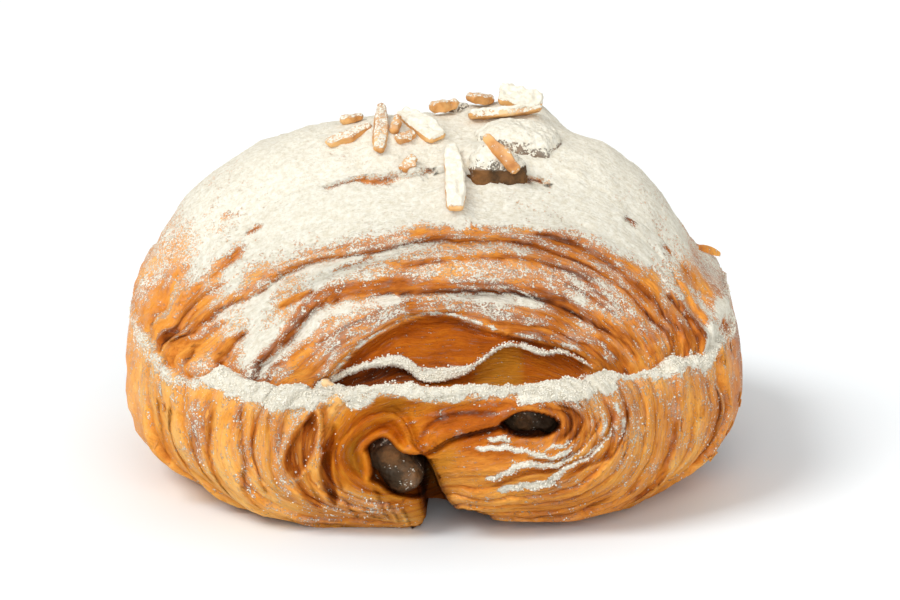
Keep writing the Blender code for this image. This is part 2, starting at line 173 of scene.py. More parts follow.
def bare_surface(x, z, end):
    """A point of the end view set on the rounded face with the ledge folded in, and the share of the fold."""
    out = np.clip(outline_share(x, z), 0, 1)
    rounding = DRUM_ROUNDING + (DOME_ROUNDING - DRUM_ROUNDING) * ease(30 * MM, 50 * MM, z)
    y = end * HALF_DEPTH * (1 - out**rounding) ** (1 / rounding)
    side = x * x / (x * x + y * y + LEDGE_FADE_RADIUS**2)
    above = z - ledge_height(x, y, end)
    step = soft_ramp(above, FOLD_RADIUS) - soft_ramp(above - LEDGE_DEPTH, FOLD_RADIUS)
    flatness = LEDGE_FLATNESS[0] + (LEDGE_FLATNESS[1] - LEDGE_FLATNESS[0]) * side
    inset = LEDGE_INSET[0] + (LEDGE_INSET[1] - LEDGE_INSET[0]) * side
    keep = 1 - inset * step / LEDGE_DEPTH
    return np.stack([x * keep, y * keep, z - flatness * step], axis=-1), above / LEDGE_DEPTH


FACE_MIDDLE = bare_surface(0.0, BELT_HEIGHT, -1)[0]
print("the middle of the front face lies at", np.round(FACE_MIDDLE / MM, 1), "mm")
# %% [markdown]
# ## Random swell
# Baked dough is never even. This helper gives smooth random swell of any size: a small table of random
# numbers is read with soft steps between its cells. The table is seeded, so that the croissant is the same
# in every run.

# %% Smooth random swell
def swell(points, size, seed, octaves=1):
    """Smooth noise from -1 to 1 at points (..., 3), whose swells are about this size."""
    total = np.zeros(points.shape[:-1])
    weight, weights = 1.0, 0.0
    for octave in range(octaves):
        table = np.random.default_rng(seed + octave).uniform(-1, 1, (32, 32, 32))
        place = points * (2**octave / size) + 7.3 * seed
        cell = np.floor(place).astype(int)
        part = place - cell
        part = part * part * (3 - 2 * part)
        value = np.zeros(points.shape[:-1])
        for corner in np.ndindex(2, 2, 2):
            spot = (cell + corner) % 32
            share = np.prod(np.where(corner, part, 1 - part), axis=-1)
            value += table[spot[..., 0], spot[..., 1], spot[..., 2]] * share
        total += weight * value
        weights += weight
        weight /= 2
    return total * 1.6 / weights


print("swell of 1000 places:", np.round(np.std(swell(np.random.default_rng(1).random((1000, 3)), 0.1, 3)), 2))

# %% [markdown]
# ## The grid of layers
# A laminated roll shows its layers at the end as lines that wrap round the cores. If the rows of the mesh
# follow those lines, each torn edge can be crisp with few points. So each row keeps one layer, and each
# column is a ray from the seam between the two rolls. A few named strays bend the rows to where the real
# layers run.

# %% Rows and columns that follow the layers
LAYER_EDGES = np.array([
    0.15, 0.2, 0.25, 0.295, 0.343, 0.39, 0.435, 0.475, 0.515,
    0.565, 0.63, 0.69, 0.735, 0.785, 0.83, 0.88, 0.93,
])
LAYER_COUNT = len(LAYER_EDGES) - 1
COLUMNS = 330
ROW_SETS = {  # rows in the core, phases of the rows in each layer, rows in the side
    -1: (36, (0.0, 0.06, 0.14, 0.27, 0.42, 0.58, 0.75, 0.9), 12),
    1: (18, (0.0, 0.1, 0.3, 0.55, 0.8), 10),
}
STRAYS = (  # turn and its spread in degrees, share and its spread, shift of the share
    ((92, 34), (0.78, 0.08), -0.028),
    ((162, 15), (0.8, 0.1), 0.055),
    ((28, 14), (0.8, 0.1), 0.045),
    ((122, 20), (0.655, 0.06), 0.04),
    ((76, 28), (0.625, 0.05), -0.026),
    ((96, 22), (0.485, 0.04), 0.022),
    ((62, 14), (0.455, 0.04), -0.022),
)


def stray(turn, share, end):
    """How far the layers leave their even places."""
    phase = 2.0 * end
    waves = 0.01 * np.sin(3 * turn + 1.0 + 7 * share + phase)
    waves += 0.007 * np.sin(7 * turn + 2.0 - 11 * share + 1.7 * phase)
    waves += 0.004 * np.sin(13 * turn + 5.0 + 17 * share - phase)
    waves *= 4 * share * (1 - share)
    for (middle, spread), (where, width), shift in STRAYS:
        away = (np.degrees(turn) - middle + 180) % 360 - 180
        waves += shift * np.exp(-((away / spread) ** 2) - ((share - where) / width) ** 2)
    return waves


def reach_of(turn, share):
    """Distance from the seam, along a ray, at which the wrap share is share; found by halving."""
    near, far = np.zeros(share.shape), np.full(share.shape, 2 * HALF_WIDTH)
    for _ in range(34):
        reach = (near + far) / 2
        x, z = SEAM_TOP[0] + reach * np.cos(turn), SEAM_TOP[1] + reach * np.sin(turn)
        beyond = (wrap_share(x, z) > share) | (outline_share(x, z) > 1)
        near, far = np.where(beyond, near, reach), np.where(beyond, reach, far)
    return (near + far) / 2


def layer_grid(end):
    """Places in the end view and layer numbers of one end's rows, from the seam to the outline."""
    core_rows, phases, side_rows = ROW_SETS[end]
    turn = np.radians(360 * np.arange(COLUMNS) / COLUMNS)
    shares, layers = [], []
    for number in range(LAYER_COUNT):
        for phase in phases:
            shares.append(LAYER_EDGES[number] + phase * (LAYER_EDGES[number + 1] - LAYER_EDGES[number]))
            layers.append(number + phase)
    for row in range(side_rows + 1):
        left = 1 - row / side_rows
        shares.append(1 - (1 - LAYER_EDGES[-1]) * left * left)
        layers.append(LAYER_COUNT + 1 - left)
    turns, shares = np.meshgrid(turn, np.array(shares))
    layers = np.repeat(np.array(layers)[:, None], COLUMNS, axis=1)
    shares = np.clip(shares + stray(turns, shares, end), 0.02, 1)
    shares = np.maximum.accumulate(shares, axis=0)
    reach = reach_of(turns, shares)
    inner = (np.arange(1, core_rows + 1) / (core_rows + 1))[:, None]
    reach = np.concatenate([inner * reach[:1], reach])
    turns = np.concatenate([np.repeat(turns[:1], core_rows, axis=0), turns])
    x, z = SEAM_TOP[0] + reach * np.cos(turns), SEAM_TOP[1] + reach * np.sin(turns)
    core_layers = -1 + wrap_share(x[:core_rows], z[:core_rows]) / LAYER_EDGES[0]
    return x, z, np.concatenate([np.minimum(core_layers, -0.01), layers])


grids = {end: layer_grid(end) for end in (-1, 1)}
print("rows of the front and back ends:", [grids[end][0].shape[0] for end in (-1, 1)])

# %% [markdown]
# ## Drawing on the end face
# Some shapes on the end face follow no layer: the torn mouth, the hollow round the left stick, the lens
# round the right one, the gap between the rolls. They are drawn as lines in millimetres, across and up, as a
# viewer a little above the table sees the face, and are pushed in along that line of sight.

# %% Places on the drawing
LOOK_DOWN = math.radians(17)
DRAWING_FOOT = 11.7  # mm below the origin, where the drawing starts


def drawn_place(points, end):
    """Where points lie on the drawing of their end face, across and up, in mm."""
    up = math.cos(LOOK_DOWN) * points[..., 2] - end * math.sin(LOOK_DOWN) * points[..., 1]
    return points[..., 0] / MM, up / MM + DRAWING_FOOT


def inward(end):
    """The direction into the dough along the line of sight."""
    return np.array([0, -end * math.cos(LOOK_DOWN), -math.sin(LOOK_DOWN)])


def curve(points, closed=False):
    """A dense smooth line through a few drawn points."""
    points = np.array(points, float)
    lead, tail = (points[-1:], points[:2]) if closed else (points[:1], points[-1:])
    knots = np.concatenate([lead, points, tail])
    steps = np.arange(0, 1, 0.05)[:, None]
    pieces = []
    for before, start, stop, after in zip(knots, knots[1:], knots[2:], knots[3:]):
        bend = 2 * before - 5 * start + 4 * stop - after
        twist = 3 * start - before - 3 * stop + after
        pieces.append(0.5 * (2 * start + (stop - before) * steps + bend * steps**2 + twist * steps**3))
    return np.concatenate([*pieces, knots[-2][None]])


def beside(across, up, line, reach=7.0):
    """Distance to a drawn line in mm, positive on the left of its run, and the share of the way along it."""
    distance, share = np.full(across.shape, 99.0), np.zeros(across.shape)
    low, high = line.min(axis=0) - reach, line.max(axis=0) + reach
    near = (across > low[0]) & (across < high[0]) & (up > low[1]) & (up < high[1])
    place = np.stack([across[near], up[near]], axis=-1)
    if not len(place):
        return distance, share
    run = line[1:] - line[:-1]
    run_length = np.maximum(np.sum(run * run, axis=-1), 1e-9)
    offset = place[:, None] - line[None, :-1]
    along = np.clip(np.sum(offset * run, axis=-1) / run_length, 0, 1)
    away = offset - along[..., None] * run
    gap = np.sum(away * away, axis=-1)
    best = np.argmin(gap, axis=1)
    rows = np.arange(len(best))
    side = run[best, 0] * offset[rows, best, 1] - run[best, 1] * offset[rows, best, 0]
    distance[near] = np.sqrt(gap[rows, best]) * np.where(side < 0, -1, 1)
    share[near] = (best + along[rows, best]) / len(run)
    return distance, share


def within(across, up, line):
    """Distance into a drawn closed line in mm, negative outside it."""
    distance = np.abs(beside(across, up, line)[0])
    inside = np.zeros(across.shape, bool)
    for (x0, z0), (x1, z1) in zip(line, np.roll(line, -1, axis=0)):
        if z0 != z1:
            inside ^= ((up > z0) != (up > z1)) & (across < x0 + (up - z0) * (x1 - x0) / (z1 - z0))
    return np.where(inside, distance, -distance)


print("the middle of the front face is drawn at", np.round(drawn_place(FACE_MIDDLE, -1), 1), "mm")

# %% [markdown]
# ## The torn mouth
# Low on the dome the layers have torn open. The upper wall runs in under the dome's last layer, a wavy sheet
# crosses the opening as a lip with sugar heaped on it, and a recess lies below. The depth grows from nothing
# at the lower line of each part to its full value under the edge above.

# %% Draw the mouth and work out its depth
MOUTH_TOP = curve([(-21, 25.5), (-16.5, 30.2), (-13.1, 33.6), (-5.1, 38), (1.9, 39.1), (11.4, 36.3),
    (18, 34.6), (26, 32.4), (33, 27.5)])
MOUTH_LIP = curve([(-21, 25.3), (-17.8, 27.4), (-12.6, 29.5), (-6.5, 30), (-2.4, 27.5), (0.7, 27.2),
    (5.3, 28.4), (8.9, 31), (11.9, 33.2), (15, 33.6), (19.6, 32), (23.2, 32.3), (26.5, 31), (30.4, 28.2),
    (34, 26.4)])
MOUTH_FOOT = curve([(-22, 25.6), (-18, 26.3), (-15.6, 25.9), (-11.3, 26.1), (-7.8, 26.8), (-4.3, 26.8),
    (-1.6, 26), (3, 25.7), (8.6, 26), (15, 26.4), (23.8, 27), (34, 26.6)])
# how high the sugar lies on the lip: across, height
LIP_SUGAR = ((-20, 0.9), (-12, 1.1), (-6, 1.9), (-1, 2.4), (4, 2), (7, 0.8), (12, 0.3), (18, 0.8), (24, 0.3),
    (30, 0.3))


def line_height(line, across):
    """How high a drawn line is at each place across."""
    order = np.argsort(line[:, 0])
    return np.interp(across, line[order, 0], line[order, 1])


def mouth_shape(across, up, masks):
    """Depth of the torn mouth in mm; masks hold values from 0 to 1 that the colours need later."""
    span = ease(-20.5, -17.5, across) * (1 - ease(26, 31, across))
    below_top = line_height(MOUTH_TOP, across) - up
    above_lip = up - line_height(MOUTH_LIP, across)
    above_foot = up - line_height(MOUTH_FOOT, across)
    wall_share = np.clip(above_lip, 0, 99) / np.maximum(np.abs(above_lip) + np.abs(below_top), 0.1)
    wall = span * ease(0, 0.5, below_top) * (above_lip > 0)
    foot_share = np.clip(above_foot, 0, 99) / np.maximum(np.abs(above_foot) + np.abs(above_lip), 0.1)
    recess = span * ease(0, 0.45, -above_lip) * ease(-0.4, 0.3, above_foot)
    depth = 3.6 * wall * wall_share**0.9 + 4.6 * recess * (0.35 + 0.65 * foot_share)
    edge = span * bell(above_lip - 0.3, 0.45)
    heap = np.interp(across, *zip(*LIP_SUGAR))
    lip = span * ease(-0.45, -0.1, above_lip) * ease(heap + 0.35, heap - 0.25, above_lip)
    top = span * bell(below_top + 0.3, 0.42)
    zone = ease(-21, -17.5, across) * (1 - ease(26, 31, across)) * (above_foot > 0) * (below_top > 0)
    masks.update(wall=wall, mouth_lip=lip, recess=recess, mouth_top=top, mouth_zone=zone)
    return depth - 0.6 * edge - 0.5 * lip - 0.3 * top


print("mouth from", MOUTH_TOP[0], "to", MOUTH_TOP[-1], "mm, top at", round(float(MOUTH_TOP[:, 1].max()), 1))

# %% [markdown]
# ## The rim
# The rim of the ledge is the only flat place on the end face, so the most sugar lies there. The dome's
# layers end on its upper line, and its sugar hangs down to the lower one. At the sides the fold in the
# smooth form says where it is.

# %% Draw the rim
RIM_TOP = curve([(-54.2, 35.5), (-51.3, 31), (-48.5, 29.1), (-46.6, 28.2), (-43.7, 27.6),
    (-41.6, 27.9), (-39, 29.1), (-36.7, 29.1), (-34, 27.7), (-31.4, 27.4), (-28.5, 26.4), (-25.7, 26),
    (-22.2, 25.6), (-20.9, 26.3), (-18, 26.3), (-15.6, 25.9), (-11.3, 26.1), (-7.8, 26.8), (-4.3, 26.8),
    (-1.6, 26), (3, 25.7), (8.6, 26), (15, 26.4), (23.8, 27), (26.6, 27.7), (29.5, 28.3), (32.3, 28.9),
    (36.1, 28.7), (39.9, 29.6), (41.8, 30.2), (43.1, 31.2), (46.6, 31.9), (50.4, 32.7), (51.1, 34.8),
    (52.6, 36.5)])
RIM_FOOT = curve([(-56, 31), (-52.3, 29.5), (-48.5, 27.7), (-44.7, 26.8), (-40.9, 26.4), (-37.1, 24.3),
    (-33.3, 23.6), (-29.5, 22.6), (-25.7, 22.4), (-22.2, 22.6), (-18, 23.4), (-16, 22.7), (-14.8, 21.8),
    (-11.6, 22.6), (-10.2, 24.6), (-9, 25.1), (-5.1, 24.8), (-1.6, 23.6), (3, 23.2), (7.8, 24), (14.8, 24.5),
    (15.4, 22.7), (21, 23.8), (26, 23.6), (30, 24.5), (33.6, 26.3), (36.1, 27.1), (39.9, 27.4), (43.7, 28.1),
    (46.6, 29.3), (50.4, 29.8), (52.6, 31.4)])


def rim_places(points, fold, end):
    """How far a point is above the rim's upper line and above its lower line, in mm."""
    across, up = drawn_place(points, end)
    sides = ease(47, 52, np.abs(across))
    rise = (1 - sides) * (up - line_height(RIM_TOP, across)) + sides * (fold - 0.1) * LEDGE_DEPTH / MM
    above_foot = (1 - sides) * (up - line_height(RIM_FOOT, across)) + sides * (fold + 0.35) * LEDGE_DEPTH / MM
    return rise, above_foot


print("rim from", RIM_TOP[0], "to", RIM_TOP[-1], "mm")

# %% [markdown]
# ## The left roll
# The left stick lies in a hollow that opens into the gap between the rolls. A band of dough arches over it
# and runs on to the right. Its trough slopes gently on the left, where yellow inner dough shows, and is
# steep under the band's own edge.

# %% Draw the left roll and work out its depth
STICK_HOLLOW_DEPTH, GAP_DEPTH = 9.2, 26
STICK_OPENING = curve([(-12.7, 15), (-11.2, 16.5), (-9.3, 17.2), (-8, 16.5), (-6.6, 14.9),
    (-5.3, 14.2), (-3.8, 13.7), (-2.1, 13.9), (-0.9, 10.5), (-1.2, 7), (-2.3, 5.6), (-4.4, 5.6), (-6.7, 6),
    (-8.6, 6.9), (-10.3, 8.2), (-11.8, 9), (-11.6, 10.5), (-11.9, 12.7), (-12.3, 13.9)], closed=True)
GAP_OUTLINE = curve([(-4.8, 13.4), (-2, 13.8), (-0.6, 12.4), (0.6, 9.8), (1.4, 7.7), (2.8, 5.9),
    (5.6, 4.4), (8.4, 3.2), (10.2, 2.3), (11.4, 0.8), (12, -3.5), (-6.5, -3.5), (-4.6, -0.5), (-2.8, 0.7),
    (-2, 2.2), (-2.3, 4.4), (-3, 7.6), (-3.8, 10.5)], closed=True)
BAND_FOLD = curve([(-11.9, 7.4), (-14.3, 8.6), (-16.4, 10.3), (-17.5, 12.6), (-17.6, 14.6),
    (-16.6, 16.6), (-14, 19.2), (-11.2, 21), (-8, 21.5), (-5.9, 20.4), (-4.6, 18.2), (-3.8, 15.9),
    (-2.8, 14.6)])
BAND_EDGE = curve([(-4.6, 13.9), (-2.6, 13.9), (-0.2, 15), (2.3, 16.6), (4.8, 17.5), (8.5, 18.4),
    (12, 19.2)])
BAND_CREASE = curve([(-2.4, 16.6), (-1, 19), (2, 20.8), (6, 21.4), (11, 21.2)])


def left_roll_shape(across, up, depth, masks):
    """Adds the left stick's hollow, the gap beside it and the band over both."""
    opening = within(across, up, STICK_OPENING)
    masks["hollow"] = ease(-0.15, 0.35, opening)
    depth = depth + STICK_HOLLOW_DEPTH * ease(-0.1, 0.8, opening)
    into_gap = within(across, up, GAP_OUTLINE)
    masks["gap"] = ease(-0.2, 0.8, into_gap)
    depth = np.maximum(depth, GAP_DEPTH * ease(0, 0.9, into_gap))
    rounding = np.where(across > -1, 1.8, 1.1)
    roll_edge = np.exp(-np.clip(-into_gap, 0, 9) / rounding) * (into_gap <= 0)
    depth = depth + 1.9 * roll_edge * (up < 13) * (np.abs(across + 1) < 16)

    fold, _ = beside(across, up, BAND_FOLD)
    arch = ease(-0.2, 0.2, -fold) * (np.abs(fold) < 6.5) * (up < 22.5)
    trough = ease(0.7, 2.3, np.minimum(-fold, -opening)) * arch
    outer_ridge = bell(-fold - 0.6, 0.6) * arch
    inner_ridge = bell(-opening - 0.5, 0.5) * arch * (opening < 0)
    depth = depth + (1.5 + 1.6 * ease(-8, -12, across)) * trough - 0.9 * outer_ridge - 0.5 * inner_ridge
    pocket = np.exp(-(((across + 7.4) / 3.0) ** 2) - (((up - 22.6) / 1.6) ** 2))
    outer = bell(fold - 0.4, 0.8) * (fold > 0) * ease(10, 15, up)
    depth = depth + 1.5 * outer + 2.4 * pocket
    masks.update(band=arch * (opening < 0.2), bowl=trough * ease(-8.5, -12.5, across))
    masks.update(trough=trough, pocket=pocket)

    edge, _ = beside(across, up, BAND_EDGE)
    over = bell(edge - 0.9, 1.0) * (edge > 0)
    # under the band's edge the dough is sunk, and the browning also paints it darker as painted shade
    under = bell(edge + 0.35, 0.6) * (edge <= 0)
    depth = depth - 0.8 * over + 1.5 * under
    away, _ = beside(across, up, BAND_CREASE)
    crease = bell(away, 0.45)
    masks.update(edge=edge, under_band=under, crease=crease)
    return depth + 0.6 * crease - 0.35 * bell(away + 0.9, 0.6)


print("opening of the left stick in mm:", np.round(STICK_OPENING.max(axis=0) - STICK_OPENING.min(axis=0), 1))

# %% [markdown]
# ## The right roll
# The right stick shows through a small opening shaped like a lens. The folds round and below it have caught
# sugar and look like thin white smiles: each is a ridge with a groove below it.

# %% Draw the right roll and work out its depth
LENS_DEPTH = 9.5
RIGHT_LENS = curve([(11.8, 19.2), (13.4, 20.6), (15.4, 21.6), (18, 21.7), (21.4, 20.8), (23, 19.2),
    (21.5, 17.5), (18.8, 16.8), (14.6, 17.2)], closed=True)
SMILES = [  # the sugared folds: places, weight
    ([(9.4, 16.5), (12.4, 16.7), (14.8, 15.9)], 0.7),
    ([(6.6, 14.9), (8.6, 15), (11, 15), (13.3, 15), (15.2, 14.6), (16.5, 14.4), (18.1, 13.9), (20, 13.3),
      (22.2, 13.3), (23.9, 14.3), (25.3, 15.2), (26.6, 16.7), (27.5, 18.4)], 0.95),
    ([(19.9, 14.7), (21.6, 15.3), (23, 15.3), (24.9, 16.3), (26, 17.7)], 0.62),
    ([(8, 9.1), (10.8, 9.5), (12.9, 10.4), (14.6, 11.4), (16.2, 12), (18.1, 12), (20, 11.8), (21.9, 11.8),
      (23.4, 12.5), (25.1, 13.5), (26.6, 14.8), (28.1, 16.5), (29.3, 18.4), (29.8, 20.9)], 1.0),
    ([(10.4, 7.3), (13.9, 7.8), (16.5, 8.2), (19, 8.4), (21.3, 9.1), (22.8, 10.5), (24.7, 11.8),
      (26.6, 12.7), (28.3, 13.9), (29.8, 15.6), (31.3, 17.3), (32.7, 19.2), (33.2, 21.5), (33, 24.2)], 1.05),
    ([(31.7, 23.9), (33.6, 21.3), (34, 18.4), (32.1, 15.8), (29.5, 13.5)], 0.55),
    ([(29.5, 22.6), (30.8, 20.3), (30.2, 18.1), (28.5, 15.8)], 0.52),
    ([(24.9, 23.4), (27.6, 21.5), (28.5, 19), (27.6, 16.5)], 0.46),
]


def right_roll_shape(across, up, depth, masks):
    lens = within(across, up, RIGHT_LENS)
    masks["lens"] = ease(-0.15, 0.35, lens)
    depth = depth + LENS_DEPTH * ease(-0.1, 0.5, lens) - 0.35 * bell(lens + 0.7, 0.6)
    masks["rings"] = ease(17, 21, across) * ease(11, 17, up) * ease(6.5, 4, -lens) * (lens < 0)
    smiles = np.zeros(across.shape)
    for places, weight in SMILES:
        away, share = beside(across, up, curve(places))
        ends = ease(0, 0.08, share) * (1 - 0.55 * ease(0.62, 0.85, share))
        ends = ends * (1 - ease(0.85, 1, share))
        away = away + 0.16 * np.sin(across * 2.1 + up)
        ridge = bell(away, 0.5) * ends
        groove = bell(away + 0.95, 0.4) * ends
        depth = depth + weight * (0.55 * groove - 0.65 * ridge)
        smiles = np.maximum(smiles, weight * bell(away, 0.56) * ends)
    masks["smiles"] = smiles
    return depth


print("sugared folds:", len(SMILES))

# %% [markdown]
# ## Edges of single sheets
# Where sheets overlap, each edge stands up a little and throws a dark line, which is also painted darker as
# painted shade. It is drawn anticlockwise round the cores, so that the sheet on top lies on its right. Two
# hollows on the left are sunk between parted sheets and painted browner as painted shade, and some edges
# are browned and hold fine sugar.

# %% Draw the edges and work out their depth
CREASES = [  # places, depth, width, how far the upper sheet's edge stands up
    ([(-21.9, 21.3), (-24.5, 18.1), (-26.2, 15.2), (-27, 12.7), (-26.6, 10.5)], 3.6, 1.5, 0.9),
    ([(-20.5, 23.2), (-20.1, 20), (-20.1, 16.9), (-20.7, 14.8)], 3.0, 1.1, 0.8),
    ([(-25.3, 9.2), (-23.9, 6.9), (-22.2, 5.3), (-20.3, 4.2)], 2.2, 1.2, 0.6),
    ([(-23.6, 10.5), (-22.2, 7.8), (-20.7, 5.3)], 0.9, 0.5, 0.3),
    ([(-19.2, 14.9), (-20.5, 11.8), (-20.5, 9.7), (-19.8, 7.4), (-18.2, 5.1)], 3.0, 0.9, 0.9),
    ([(-17.9, 16), (-17.9, 12.7), (-17.5, 9.3), (-16.6, 7.4)], 0.8, 0.4, 0.5),
    ([(-50, 24.3), (-50.5, 21.9), (-50.7, 19), (-50.9, 16.2), (-50.4, 12.7), (-49, 10.8)], 0.9, 0.7, 0.4),
    ([(-46.9, 24.4), (-47.9, 20.9), (-48.5, 18.1), (-48.6, 15.6), (-48.1, 13.1), (-47.1, 10.8),
      (-45, 7.8)], 1.2, 0.8, 0.6),
    ([(-44.7, 18.1), (-44.7, 15.2), (-44.1, 12.4), (-42.8, 8.9), (-40.5, 6)], 0.8, 0.9, 0.3),
    ([(-40.7, 24.4), (-40.9, 20.3), (-41.4, 17.1), (-41.8, 13.9), (-41.2, 10.8), (-40.1, 8.2), (-38.4, 6.1),
      (-35.7, 3.6)], 1.3, 0.8, 0.7),
    ([(-35.5, 23.8), (-35.3, 20), (-35.2, 16.2), (-34.6, 12.4), (-34.8, 8.6), (-33.6, 6.3),
      (-30.4, 3.8)], 1.2, 1.1, 0.5),
    ([(-32.7, 22.8), (-32.9, 19), (-33.3, 15.2), (-32.5, 12), (-31.4, 8.6), (-29, 4.9)], 1.0, 0.6, 0.4),
    ([(-29.8, 22.2), (-29.8, 19), (-29.5, 15.2), (-29.3, 12), (-28, 7)], 0.8, 0.8, 0.3),
    ([(-40.5, 4.4), (-37, 2.8), (-33, 1.9), (-28, 1.2)], 1.3, 0.9, 0.2),
    ([(23.8, 9.1), (25.7, 10.8), (27.6, 11.8), (29.8, 12.6), (31.9, 13.9), (33.3, 16.2), (34.1, 18.1),
      (34.9, 20.3), (34.8, 22.2), (33.6, 24.6)], 1.8, 0.8, 0.6),
    # the rings round the right stick, from the inside outwards
    ([(22.4, 16), (23.9, 17.3), (24.9, 18.6), (25, 20.1), (23.8, 21.5), (21.5, 22.2),
      (18.6, 22.6)], 1.6, 0.5, 0.6),
    ([(23.2, 15), (25.1, 16.5), (26.4, 18.2), (26.8, 20), (25.8, 21.5), (23.8, 22.5),
      (20.5, 23)], 1.5, 0.45, 0.6),
    ([(26.8, 16.6), (28.1, 18.4), (27.9, 20.9), (27, 22.4), (25.5, 23.6)], 1.3, 0.45, 0.5),
    ([(15.6, 13.5), (19, 12.6), (21.5, 12.5), (23.8, 13), (25.7, 14.1), (27.4, 15.8), (28.7, 17.7),
      (29.7, 19.8), (30.1, 21.9)], 1.6, 0.5, 0.6),
    ([(9.9, 7.7), (12.4, 8.6), (15.2, 9.7), (17.7, 10.5), (20.9, 10.6), (23, 11.5), (25, 12.4), (27.9, 13.6),
      (29.5, 15.6), (31, 17.5), (31.9, 19.2), (32.4, 21.3), (31.9, 23.6)], 1.7, 0.6, 0.6),
    # the dark fold inside the band, and flaky ends of sheets at the foot of the left roll
    ([(-3.6, 15.2), (-4.6, 17), (-5.6, 19.2), (-7, 20.6)], 0.7, 0.5, 0.3),
    ([(-10.8, 7.6), (-9.5, 4.8), (-8.2, 1)], 0.9, 0.5, 0.5),
    ([(-8.5, 5.3), (-7.2, 3.2), (-6.3, 0.6)], 0.9, 0.5, 0.5),
    ([(-5.9, 4.2), (-4.8, 1.9), (-4.4, 0.4)], 1.0, 0.4, 0.5),
    ([(-13.3, 4.8), (-11.4, 2.5), (-9.5, 0.6)], 0.8, 0.5, 0.4),
    ([(-16.5, 6), (-14.5, 3), (-12.5, 0.8)], 0.8, 0.5, 0.4),
    ([(34.6, 5.6), (37.5, 9.4), (39.6, 14.2), (40, 19.6), (39.2, 25.4)], 0.7, 0.6, 0.4),
    ([(35.5, 4.2), (38, 5.7), (41.2, 8.2), (43.1, 12.4), (44.3, 16.2), (44.8, 21)], 1.3, 0.9, 0.6),
    ([(46.9, 8.6), (49.8, 11.4), (51.5, 14.8), (52.1, 19), (51.9, 23.8), (51.3, 26.6)], 1.9, 0.9, 0.6),
    ([(41, 6.4), (44.6, 10.6), (46.8, 15.6), (47.6, 20.4)], 0.6, 0.5, 0.3),
    ([(48.1, 20.2), (48.7, 21.4), (48.3, 22.6)], 1.4, 0.8, 0.2),
    ([(12, 2.6), (19, 2.6), (27, 3.6), (33.5, 6.8)], 0.9, 0.7, 0.3),
    ([(15, 0.9), (23, 1.2), (30.5, 2.2), (37, 4.8)], 1.0, 0.7, 0.3),
    # edges on the dome, above the ledge
    ([(-38.6, 38.6), (-41.2, 35.2), (-43.3, 32.3), (-44.1, 28.6)], 0.8, 0.5, 0.3),
    ([(-34.6, 36.1), (-36.5, 33.3), (-38.2, 30)], 1.2, 0.6, 0.4),
    ([(-43, 42), (-46.2, 37.4), (-48.6, 32.6)], 0.6, 0.5, 0.3),
    ([(48.5, 33.2), (46.6, 37.1), (44.7, 39.9), (42.5, 43.4)], 1.0, 0.6, 0.4),
    ([(45, 32.4), (43.7, 36.1), (41.8, 39.3), (39.9, 41.8), (37, 44)], 1.4, 1.0, 0.5),
    ([(44, 31.8), (41.8, 37.1), (39, 39.3), (36.1, 41.6)], 0.8, 0.5, 0.3),
    ([(39.2, 30), (36.3, 34), (33.2, 35.8), (29.5, 37.2)], 0.7, 0.5, 0.3),
]
HOLLOWS = [
    [(-22.4, 21.5), (-25.2, 18.6), (-26.9, 15.6), (-27.5, 12.2), (-26.2, 9.6), (-24.6, 9.6), (-22.4, 12.8),
     (-21.2, 16), (-20.7, 19), (-21, 21)],
    [(-18.7, 19.2), (-20.1, 15.8), (-20.8, 11.5), (-20.2, 8), (-18.2, 4.8), (-17.4, 6.5), (-18.3, 9.5),
     (-18.6, 12.5), (-18, 16), (-17.7, 18.6)],
]
SPECKLED = [  # places, half width, browning, sugar
    ([(-43.3, 24.7), (-43.1, 20.9), (-43.7, 17.1), (-44.1, 13.3), (-43.1, 9.5)], 1.7, 0.26, 0.34),
    ([(-35.5, 23.8), (-35.3, 20), (-35, 16.2), (-34.4, 12.4), (-34.4, 8.6), (-32.6, 6),
      (-29.4, 3.8)], 1.4, 0.24, 0.3),
    ([(-28.9, 21.9), (-28.5, 18.1), (-28.3, 14.3), (-27.9, 10.5), (-26.6, 6.7)], 1.1, 0.3, 0.28),
    ([(-23.4, 21.9), (-25.7, 18.6), (-27.4, 15), (-27.8, 12), (-27, 8.9), (-25.7, 5.9),
      (-23.5, 3.4)], 0.8, 0.22, 0.42),
    ([(-21.5, 22.4), (-21.7, 19.6), (-21.5, 16.5), (-22.5, 14.2), (-24.6, 11.4), (-25.4, 8.9),
      (-25, 6)], 1.0, 0.16, 0.44),
    ([(-14.8, 22), (-16.7, 18.6), (-19, 15.6), (-20.9, 13.4)], 0.9, 0.1, 0.48),
    ([(43, 25), (44.3, 20), (44.7, 16.2), (44.3, 13.3)], 2.4, 0.14, 0.26),
    ([(36.1, 24.4), (36.7, 19), (35.5, 14.3), (32.3, 10.5)], 1.7, 0.08, 0.32),
    ([(51.3, 27.6), (51.9, 23), (51.5, 15.8), (49.8, 11.4)], 1.3, 0.3, 0.24),
    ([(-26, 3.4), (-20, 3.2), (-14, 3.6), (-8.5, 4), (-4.5, 3.2)], 3.0, 0.16, 0.4),
]


